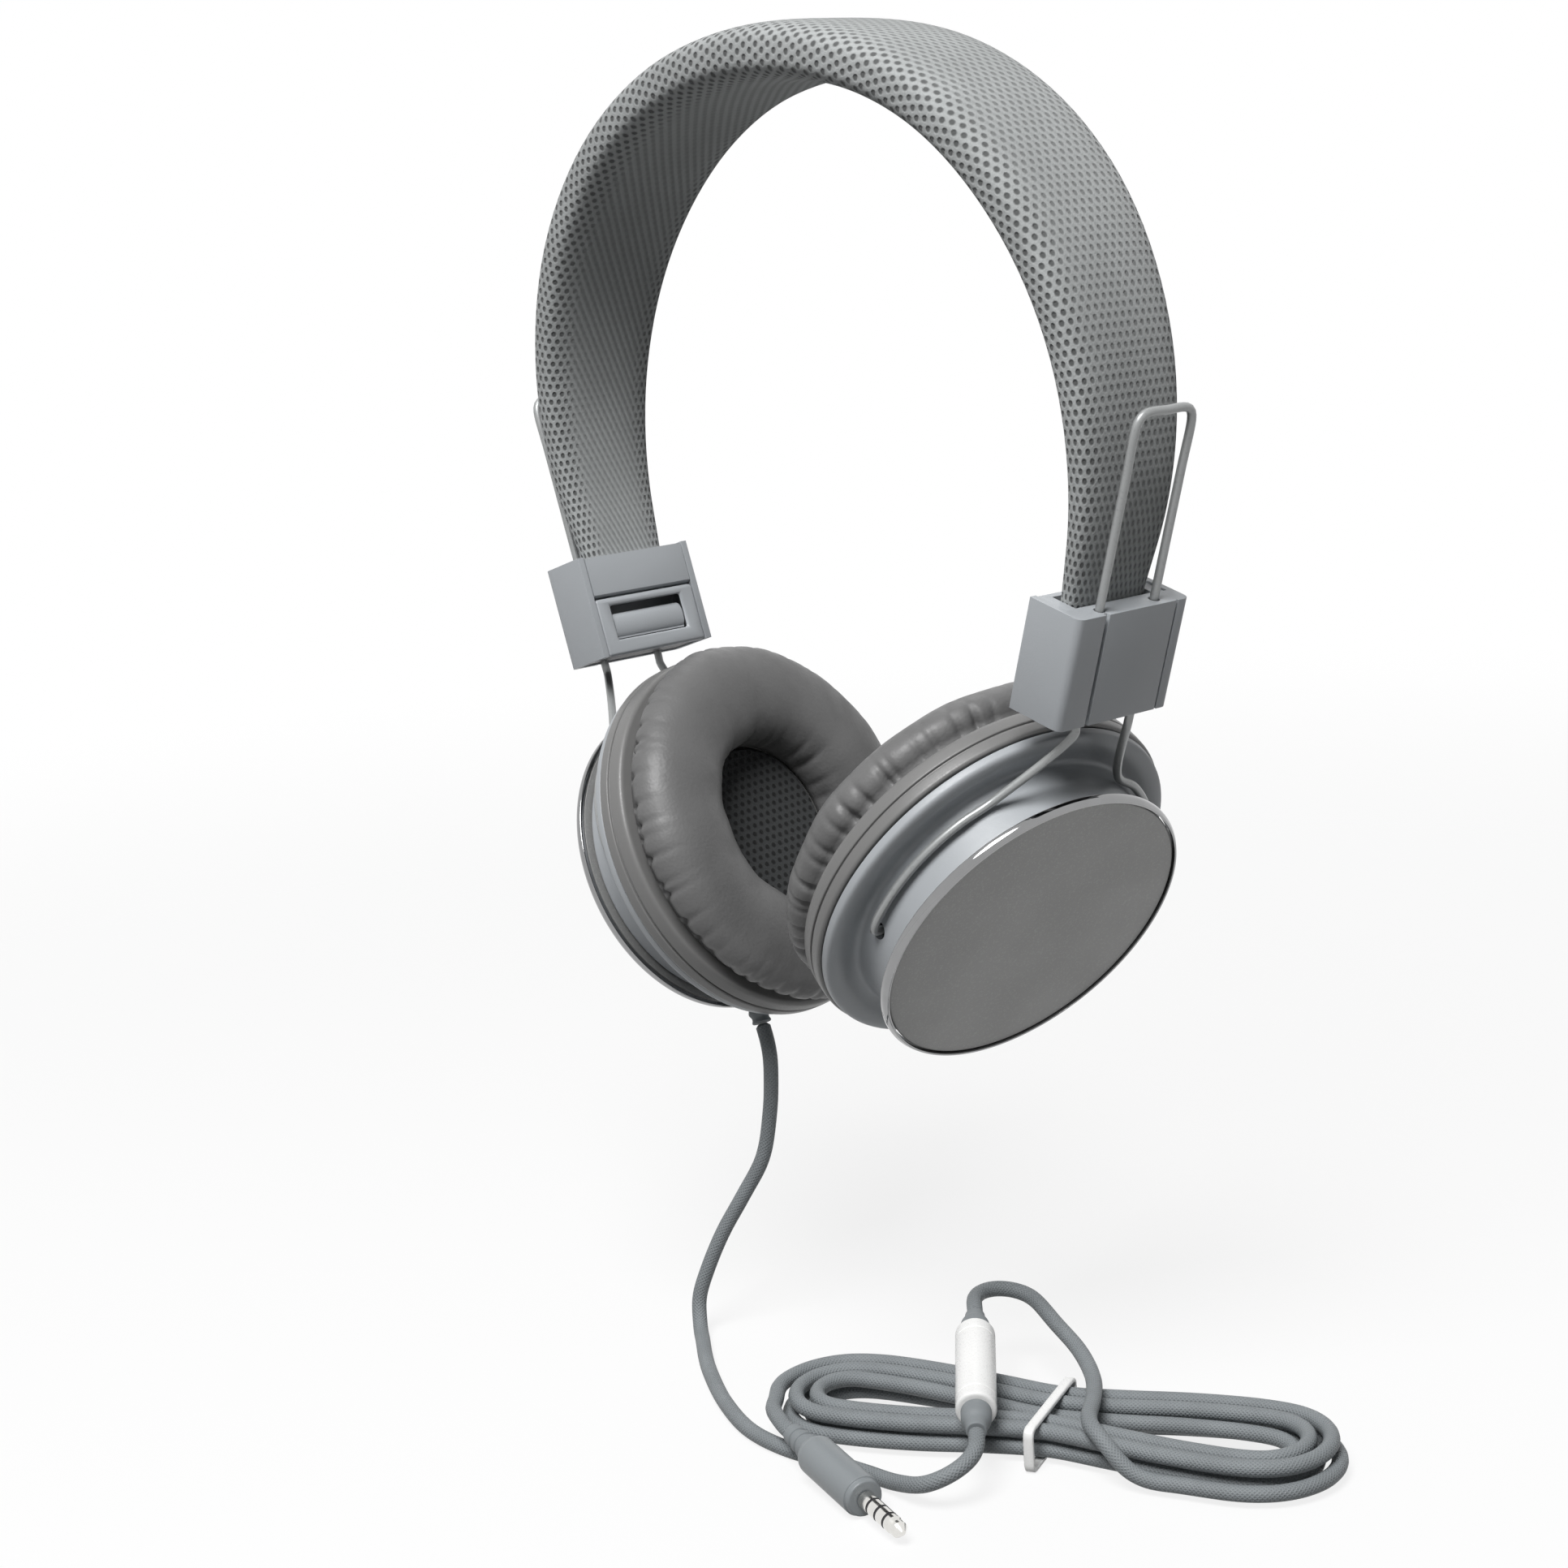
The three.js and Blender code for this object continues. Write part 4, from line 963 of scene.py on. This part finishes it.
# ---- Lead ----------------------------------------------------------------------------------
# The route's points, as the solids have them: x, y and height above the floor.
DROP = [
    (-25.9, -4.5, 62.2), (-26.3, -4.3, 56.5), (-27.5, -4.1, 49.5), (-29.6, -5.2, 39), (-33.2, -8.4, 30.4),
    (-36.4, -11.9, 22.6), (-38.9, -14.7, 14.7), (-40.2, -16.5, 8.6), (-39.8, -17.3, 5.7),
    (-38.7, -18.2, 3.5), (-37.1, -19.5, 2.1),
]
RUN = [
    (-27, -27.1, 1.6), (-19.8, -32.1, 1.6), (-4.7, -40.9, 1.6), (9, -46.4, 1.6), (20, -47.5, 1.6),
    (32, -46, 1.6), (41, -45.2, 1.7), (49, -45.9, 2.6), (56.6, -46.6, 4.6), (59.8, -45.7, 6),
    (62.2, -43.4, 7.6), (63.1, -40.2, 9.1), (62.6, -37.9, 10),
]
LANDING, LANDING_WAY = (-32.6, -22.8, 1.6), (0.79, -0.61, 0)
MIC_NEAR, MIC_FAR = (58.8, -33.3, 11.2), (24.8, 2.2, 17.8)
MIC_LENGTH, MIC_RELIEF = 28.6, 7.0
PLUG_REAR, PLUG_FRONT = (23.9, -48.6, 6.1), (51.8, -56.4, 4.0)
PLUG_RELIEF, PLUG_BARREL, PLUG_RINGS = 8, 21, (3.2, 6.2, 9.2)
HANK_CENTRE, HANK_TURN = (57.0, -11.0), math.radians(24)
HANK_BEND, HANK_FOLD, HANK_WAIST, HANK_PITCH, HANK_LAYER = 41.0, 7.1, 2.2, 4.2, 3.8
HANK_DRAWN = 20.0  # how far from the tie the runs stay drawn in
HANK_START = 0.25 * (HANK_BEND + 30) / (2 * HANK_BEND)
HANK_TURNS = 4.919 - HANK_START
HANK_REVERSE = HANK_TURNS / 2 - 0.25
TIE_THICK, TIE_WIDE = 0.8, 2.0
HANK_FLOOR = TIE_THICK + GAP + LEAD
# From the microphone to the hank, in the hank's own axes.
FAR = [
    (-24.1, 25, 17.7), (-24.4, 27.7, 17.9), (-23.5, 30.6, 17.9), (-21.1, 33, 17.6), (-17.8, 33.9, 17),
    (-14.5, 33, 16.3), (-7, 26.1, 14), (0, 19, 12), (6, 9, 10.8), (8.8, 0, 10.6), (10.1, -6.6, 10.5),
    (11.3, -9.8, 10.1), (13, -11.9, 9.7), (15.2, -13.6, 8.5), (17.7, -14.6, 6.3), (19.8, -15, 4.5),
    (22.8, -15.2, 3.1),
]


def on_floor(points):
    return np.asarray(points, float) + [0, 0, FLOOR]


def from_hank(points):
    """The hank's own axes lie on the floor, turned round its middle."""
    x, y, z = np.moveaxis(np.asarray(points, float), -1, 0)
    c, s = math.cos(HANK_TURN), math.sin(HANK_TURN)
    return np.stack([HANK_CENTRE[0] + c * x - s * y, HANK_CENTRE[1] + s * x + c * y, FLOOR + z], -1)


def hank_loop(part):
    """The innermost turn: two runs and two half circles.

    A run is y = waist + (fold - waist) * drawn(x), with drawn(x) = 1 - exp(-(x/20)^2), made 1 at
    its ends.
    """
    turn = part - np.floor(part)
    quarter = np.minimum(np.floor(turn * 4), 3)
    along = turn * 4 - quarter
    x = HANK_BEND * (2 * along - 1)

    def drawn(at):
        return 1 - np.exp(-((at / HANK_DRAWN) ** 2))

    y = HANK_WAIST + (HANK_FOLD - HANK_WAIST) * (drawn(x) / drawn(HANK_BEND))
    run = np.stack([np.where(quarter == 0, x, -x), np.where(quarter == 0, -y, y)], -1)
    a = math.pi * np.where(quarter == 1, along - 0.5, along + 0.5)
    fold = np.stack([np.sign(2 - quarter) * HANK_BEND + HANK_FOLD * np.cos(a), HANK_FOLD * np.sin(a)], -1)
    return np.where((quarter % 2 == 1)[:, None], fold, run)


def hank_line():
    """The turns lie a pitch apart beside the innermost one.

    They go inward in the lower layer, up along half a turn, and outward again above.
    """
    each, near = 24, 1e-3
    turns = np.linspace(0, HANK_TURNS, round(HANK_TURNS * each) + 1)
    here, ahead, behind = (hank_loop(HANK_START + turns + step) for step in (0, near, -near))
    way = (ahead - behind) / np.linalg.norm(ahead - behind, axis=1, keepdims=True)
    past = turns - HANK_REVERSE
    out = HANK_PITCH * np.where(past < 0, -past, np.maximum(past - 0.5, 0))
    height = HANK_FLOOR + HANK_LAYER * np.clip(past / 0.5, 0, 1)
    return from_hank(np.stack([here[:, 0] + way[:, 1] * out, here[:, 1] - way[:, 0] * out, height], 1))


def stretch(start, way, points, end, end_way):
    """A smooth run from one end to the other, straight for a lead's diameter at both."""
    begin, last = start + GAP * way, end - GAP * end_way
    return spline(np.array([begin, begin + 2 * LEAD * way, *points, last - 2 * LEAD * end_way, last]), 16)


def lead_way(out):
    """Where the lead leaves the left cup, at a distance from the cup's axis."""
    a = math.radians(9)
    return moved(np.array([3.5, out * math.sin(a), -out * math.cos(a)]), cup_turn("left"))


def turned_along(name, start, way, profile, material, steps=48, sharp=38):
    """Turns a profile of (distance from `start`, radius) about the line `way`."""
    side = unit(np.cross(way, [0, 0, 1.0]))
    turn = np.eye(4)
    turn[:3] = np.column_stack([way, side, np.cross(way, side), start])
    return lathe(name, profile, turn, steps, material_of(material), None, sharp)


def ribbed(long, r0, r1, ribs, depth):
    """A tapered sleeve with ribs.

    The radius runs from r0 to r1, less `depth` times the squared sine of the distance through
    each rib.
    """
    d = np.linspace(0, long, 10 * ribs + 1)
    r = r0 + (r1 - r0) * d / long - depth * np.sin(math.pi * d / long * ribs) ** 2
    ends = [(0, 0), (0, r[0] - 0.25)], [(long, r[-1] - 0.2), (long, 0)]
    return np.concatenate([ends[0], np.stack([d, r], 1)[1:-1], ends[1]])


class HEADSET_OT_lead(bpy.types.Operator):
    """The lead from the left cup past the microphone, wound in a hank with its tie, and out to the plug"""

    bl_idname = "headset.lead"
    bl_label = "Lead"

    def execute(self, context):
        near, far, landing, rear, front = on_floor([MIC_NEAR, MIC_FAR, LANDING, PLUG_REAR, PLUG_FRONT])
        mic_way, plug_way, onward = unit(far - near), unit(front - rear), unit(LANDING_WAY)
        mic_end = near + mic_way * (2 * (MIC_RELIEF + GAP) + MIC_LENGTH)
        away = unit(lead_way(1) - lead_way(0))
        hank = hank_line()
        drop = stretch(lead_way(38.4), away, on_floor(DROP), landing, onward)
        run = stretch(landing, onward, on_floor(RUN), near, mic_way)
        to_hank = stretch(mic_end, mic_way, from_hank(FAR), hank[0], unit(hank[1] - hank[0]))
        tail = stretch(hank[-1], unit(hank[-1] - hank[-2]), (), rear, plug_way)
        first, second = (
            evenly(relaxed(evenly(np.concatenate(parts), 0.9)), 0.9)
            for parts in ((drop[:-8], run[8:]), (to_hank, spline(hank, 4)[2:-2], tail)))
        radius = context.scene.headset_sizes.lead_diameter / MM / 2
        upper = tube("lead_to_microphone", first, radius, 16, material_of("jacket"))
        lower = tube("lead_hank_to_plug", second, radius, 16, material_of("jacket"))
        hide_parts("lead_drop", "lead_run")
        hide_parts("lead_mic_far", "lead_hank", "lead_tail")
        microphone = microphone_pieces(near, mic_way)
        plug = plug_pieces(rear, plug_way)
        tie = hank_tie()
        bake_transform(upper)
        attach(lower, "headband")
        sleeve = turned_along("cup_lead_relief", lead_way(29.4), away, ribbed(9, 2.9, 2.1, 4, 0.35), "rubber")
        fit(sleeve, "cup_left", "cord_grey", "lead_relief")
        return {"FINISHED"}


def microphone_pieces(near, way):
    """The capsule is a straight sleeve with softened ends and a fine parting groove near each.

    A rubber relief tapers from it at both ends.
    """
    c0, radius, groove = MIC_RELIEF + GAP, 4.0, 3.8
    c1 = c0 + MIC_LENGTH
    capsule = rounded(
        [(c0, 0), (c0, radius), (c0 + 3.2, radius), (c0 + 3.4, groove), (c0 + 3.6, radius),
         (c1 - 3.6, radius), (c1 - 3.4, groove), (c1 - 3.2, radius), (c1, radius), (c1, 0)],
        [0, 0.7, 0.1, 0.1, 0.1, 0.1, 0.1, 0.1, 0.7, 0], 5, joined=False)
    taper = rounded(
        [(0, 0), (0, 2.0), (2.4, 2.15), (3.6, 2.95), (MIC_RELIEF, 3.0), (MIC_RELIEF, 0)],
        [0, 0.3, 1.0, 1.0, 0.3, 0], 6, joined=False)
    far_end = near + way * (c1 + GAP + MIC_RELIEF)
    return [
        fit(turned_along("microphone_capsule", near, way, capsule, "capsule", 64),
            "headband", "white_plastic", "mic_capsule"),
        fit(turned_along("microphone_relief_near", near, way, taper, "rubber"),
            "headband", "cord_grey", "mic_relief_near"),
        fit(turned_along("microphone_relief_far", far_end, -way, taper, "rubber"),
            "headband", "cord_grey", "mic_relief_far"),
    ]


def plug_pieces(rear, way):
    """Relief with two dark grooves, a plain barrel with a stepped nose, and a shaft.

    The shaft has four contacts, parted by three dark insulating rings.
    """
    sleeve = rounded(
        [(0, 0), (0, 2.1), (2.4, 2.25), (2.5, 1.95), (3.3, 2.0), (3.4, 2.35), (4.9, 2.45), (5.0, 2.15),
         (5.8, 2.2), (5.9, 2.6), (PLUG_RELIEF, 2.7), (PLUG_RELIEF, 0)],
        [0, 0.2] + [0.08] * 8 + [0.2, 0], 4, joined=False)
    b0 = PLUG_RELIEF + GAP
    b1 = b0 + PLUG_BARREL
    barrel = rounded(
        [(b0, 0), (b0, 3.2), (b0 + 1.6, 4.0), (b1 - 1.3, 4.0), (b1 - 1.2, 3.7), (b1, 3.6), (b1, 0)],
        [0, 0.3, 0.6, 0.1, 0.1, 0.4, 0], 6, joined=False)
    pieces = [
        fit(turned_along("plug_sleeve", rear, way, sleeve, "rubber"), "headband", "cord_grey", "plug_relief"),
        fit(turned_along("plug_handle", rear, way, barrel, "barrel", 64),
            "headband", "grey_plastic", "plug_barrel"),
    ]
    shaft_start, radius, sunk = b1 + GAP, 1.75, 1.66
    corners = [(0, 0), (0, radius)]
    for ring in PLUG_RINGS:
        corners += [(ring - 0.35, radius), (ring - 0.33, sunk), (ring + 0.33, sunk), (ring + 0.35, radius)]
    corners += [(10.6, radius), (11.2, 1.15), (11.8, 1.62), (12.6, 1.6), (14.0, 0.5), (14.0, 0)]
    shaft = turned_along("plug_contacts", rear, way, np.array(corners) + [shaft_start, 0], "plug", 48, 30)
    shaft.data.materials.append(material_of("dark"))
    centres = np.empty(len(shaft.data.polygons) * 3, np.float32)
    shaft.data.polygons.foreach_get("center", centres)
    along = (centres.reshape(-1, 3) / MM - rear) @ way - shaft_start
    dark = (np.abs(along[:, None] - PLUG_RINGS) < 0.36).any(1)
    shaft.data.polygons.foreach_set("material_index", dark.astype(np.int32))
    return [*pieces, fit(shaft, "headband", "plug_metal", "plug_shaft")]


def hank_tie():
    """A flat band closed round the hank: a rounded rectangle carried along the tie's width.

    Its outer and inner lines are joined by soft edges.
    """
    side = HANK_WAIST + HANK_PITCH * HANK_REVERSE + LEAD + GAP
    low, high = HANK_FLOOR - LEAD - GAP, HANK_FLOOR + HANK_LAYER + LEAD + GAP
    soft, end = 0.2, TIE_WIDE / 2

    def loop(grow, corner):
        y, z0, z1 = side + grow, low - grow, high + grow
        return rounded([(-y, z0), (y, z0), (y, z1), (-y, z1)], corner, 9)

    outer, inner, edge = loop(TIE_THICK, 2.2), loop(0.05, 1.6), loop(TIE_THICK - soft, 2.1)
    rows = ((outer, -end + soft), (outer, end - soft), (edge, end), (inner, end), (inner, -end), (edge, -end))
    grid = np.stack([np.column_stack([np.full(len(line), x), line]) for line, x in rows])
    piece = skin("hank_band", from_hank(grid), round_rows=True, material=material_of("capsule"), sharp=50)
    return fit(piece, "headband", "white_plastic", "hank_tie")


class HEADSET_OT_inner_parts(bpy.types.Operator):
    """Finishes for the speakers, magnets, hinge pins and band springs, which keep their solids"""

    bl_idname = "headset.inner_parts"
    bl_label = "Inner parts"

    def execute(self, context):
        kinds = {"band_spring": "steel", "hinge_pin": "steel", "driver_magnet": "steel",
                 "driver_frame": "dark"}
        for name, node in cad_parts.items():
            for prefix, kind in kinds.items():
                if name.startswith(prefix):
                    node.data.materials.clear()
                    node.data.materials.append(material_of(kind))
        return {"FINISHED"}


# ---- Stage ---------------------------------------------------------------------------------
CAMERA_AT = (0.424965, -0.399961, -0.017663)
AZIMUTH, ELEVATION, ROLL = math.radians(48.1176), math.radians(11.6462), math.radians(-3.5778)
LENS = 67.586
WHITE = (1, 1, 1, 1)


class HEADSET_OT_stage(bpy.types.Operator):
    """Camera at the picture's angle, pale floor, white surround and soft lamps"""

    bl_idname = "headset.stage"
    bl_label = "Stage"

    def execute(self, context):
        scene, settings = context.scene, context.scene.headset_stage
        place_camera(scene)
        pale_floor(settings.floor_tone, settings.bounce)
        white_surround(scene, settings.sky)
        lamp("key_lamp", (0.33, -0.66, 0.97), 0.75, settings.key_power)
        lamp("fill_lamp", (-0.7, 0.5, 1.0), 0.8, settings.fill_power)
        scene.view_settings.view_transform = "Standard"
        return {"FINISHED"}


def place_camera(scene):
    """Right, up and backward directions from azimuth, elevation and roll."""
    a, e, r = AZIMUTH, ELEVATION, ROLL
    right = np.array([math.cos(a), math.sin(a), 0])
    ahead = np.array([-math.sin(a) * math.cos(e), math.cos(a) * math.cos(e), -math.sin(e)])
    up = np.cross(right, ahead)
    axes = [math.cos(r) * right + math.sin(r) * up, -math.sin(r) * right + math.cos(r) * up, -ahead]
    camera = placed("camera", bpy.data.cameras.new("camera"))
    camera.data.lens, camera.data.sensor_width = LENS, 36
    camera.data.clip_start, camera.data.clip_end = 0.01, 20
    camera.matrix_world = Matrix.Translation(CAMERA_AT) @ Matrix(np.array(axes).T.tolist()).to_4x4()
    scene.camera = camera


def looked_at(tree):
    """1 where the camera looks, straight or through a reflection or something clear."""
    rays = add(tree, "ShaderNodeLightPath").socket.node.outputs
    camera, glossy, clear = (Number(rays[f"Is {kind} Ray"]) for kind in ("Camera", "Glossy", "Transmission"))
    return camera.math("MAXIMUM", glossy.math("MAXIMUM", clear))


def pale_floor(tone, bounce):
    """A disc on the floor plane, whose shadow is kept softly for the camera.

    It fades out to the white surround.
    """
    sides = 96
    a = np.linspace(0, TURN, sides, endpoint=False)
    radius = np.array([0.2, 0.6, 1.2, 2.4])[:, None] / MM
    grid = np.stack([np.cos(a) * radius, np.sin(a) * radius, np.full((4, sides), FLOOR)], -1)
    floor = skin("pale_floor", grid, poles=((0, 0, FLOOR), None))
    if floor.data.polygons[0].normal.z < 0:
        floor.data.flip_normals()
    material = bpy.data.materials.new("pale_floor")
    material.use_nodes = True
    tree = material.node_tree
    tree.nodes.clear()
    seen = looked_at(tree)
    shown = blend_tone(tree, seen, tint(tone, bounce), (*tone, 1))
    matt = add(tree, "ShaderNodeBsdfDiffuse", {"Color": shown})
    glow = add(tree, "ShaderNodeEmission", {"Color": WHITE, "Strength": 1.0})
    lit = add(tree, "ShaderNodeMixShader", {0: seen * 0.84, 1: matt, 2: glow})
    clear = add(tree, "ShaderNodeBsdfTransparent")
    away = length_of(tree, place_on_object(tree))
    whole = add(tree, "ShaderNodeMixShader", {0: away.spread(0.36, 0.95), 1: lit, 2: clear})
    add(tree, "ShaderNodeOutputMaterial", {"Surface": whole})
    floor.data.materials.append(material)
    return floor


def white_surround(scene, strength):
    """Even room light for the object, and plain white where the camera looks past it."""
    scene.world = bpy.data.worlds.new("surround")
    scene.world.use_nodes = True
    tree = scene.world.node_tree
    tree.nodes.clear()
    height = parts_of(tree, add(tree, "ShaderNodeTexCoord", output="Generated"))[2]
    tone = blend_tone(tree, height.spread(-0.3, 0.6), (0.55, 0.56, 0.58, 1), WHITE)
    room = add(tree, "ShaderNodeBackground", {"Color": tone, "Strength": strength})
    white = add(tree, "ShaderNodeBackground", {"Color": WHITE, "Strength": 1.0})
    mixed = add(tree, "ShaderNodeMixShader", {0: looked_at(tree), 1: room, 2: white})
    add(tree, "ShaderNodeOutputWorld", {"Surface": mixed})


def lamp(name, at, size, watts):
    """A round lamp that points at the middle of the headset."""
    middle = Vector((0, 0, -0.12))
    data = bpy.data.lights.new(name, "AREA")
    data.shape, data.size, data.energy = "DISK", size, watts
    light = placed(name, data)
    light.location = at
    light.rotation_euler = (middle - Vector(at)).to_track_quat("-Z", "Y").to_euler()


# ---- Add-on --------------------------------------------------------------------------------
class HEADSET_PT_pieces(bpy.types.Panel):
    """Pieces and settings of the headset"""

    bl_label = "Headset"
    bl_idname = "HEADSET_PT_pieces"
    bl_space_type = "VIEW_3D"
    bl_region_type = "UI"
    bl_category = "Headset"

    def draw(self, context):
        scene = context.scene
        for operator in OPERATORS:
            self.layout.operator(operator.bl_idname)
        for group in (scene.headset_sizes, scene.headset_colours, scene.headset_stage):
            box = self.layout.box()
            for name in group.__annotations__:
                box.prop(group, name)


OPERATORS = (HEADSET_OT_stage, HEADSET_OT_lead, HEADSET_OT_band, HEADSET_OT_blocks, HEADSET_OT_yokes,
             HEADSET_OT_cups, HEADSET_OT_cushions, HEADSET_OT_inner_parts)
CLASSES = (HeadsetSizes, HeadsetColours, StageSettings, *OPERATORS, HEADSET_PT_pieces)


def register():
    for cls in CLASSES:
        bpy.utils.register_class(cls)
    bpy.types.Scene.headset_sizes = PointerProperty(type=HeadsetSizes)
    bpy.types.Scene.headset_colours = PointerProperty(type=HeadsetColours)
    bpy.types.Scene.headset_stage = PointerProperty(type=StageSettings)


def unregister():
    del bpy.types.Scene.headset_stage, bpy.types.Scene.headset_colours, bpy.types.Scene.headset_sizes
    for cls in reversed(CLASSES):
        bpy.utils.unregister_class(cls)


def main():
    register()
    bpy.ops.headset.stage()
    bpy.ops.headset.lead()
    bpy.ops.headset.band()
    bpy.ops.headset.blocks()
    bpy.ops.headset.yokes()
    bpy.ops.headset.cups()
    bpy.ops.headset.cushions()
    bpy.ops.headset.inner_parts()


if __name__ == "__main__":
    main()
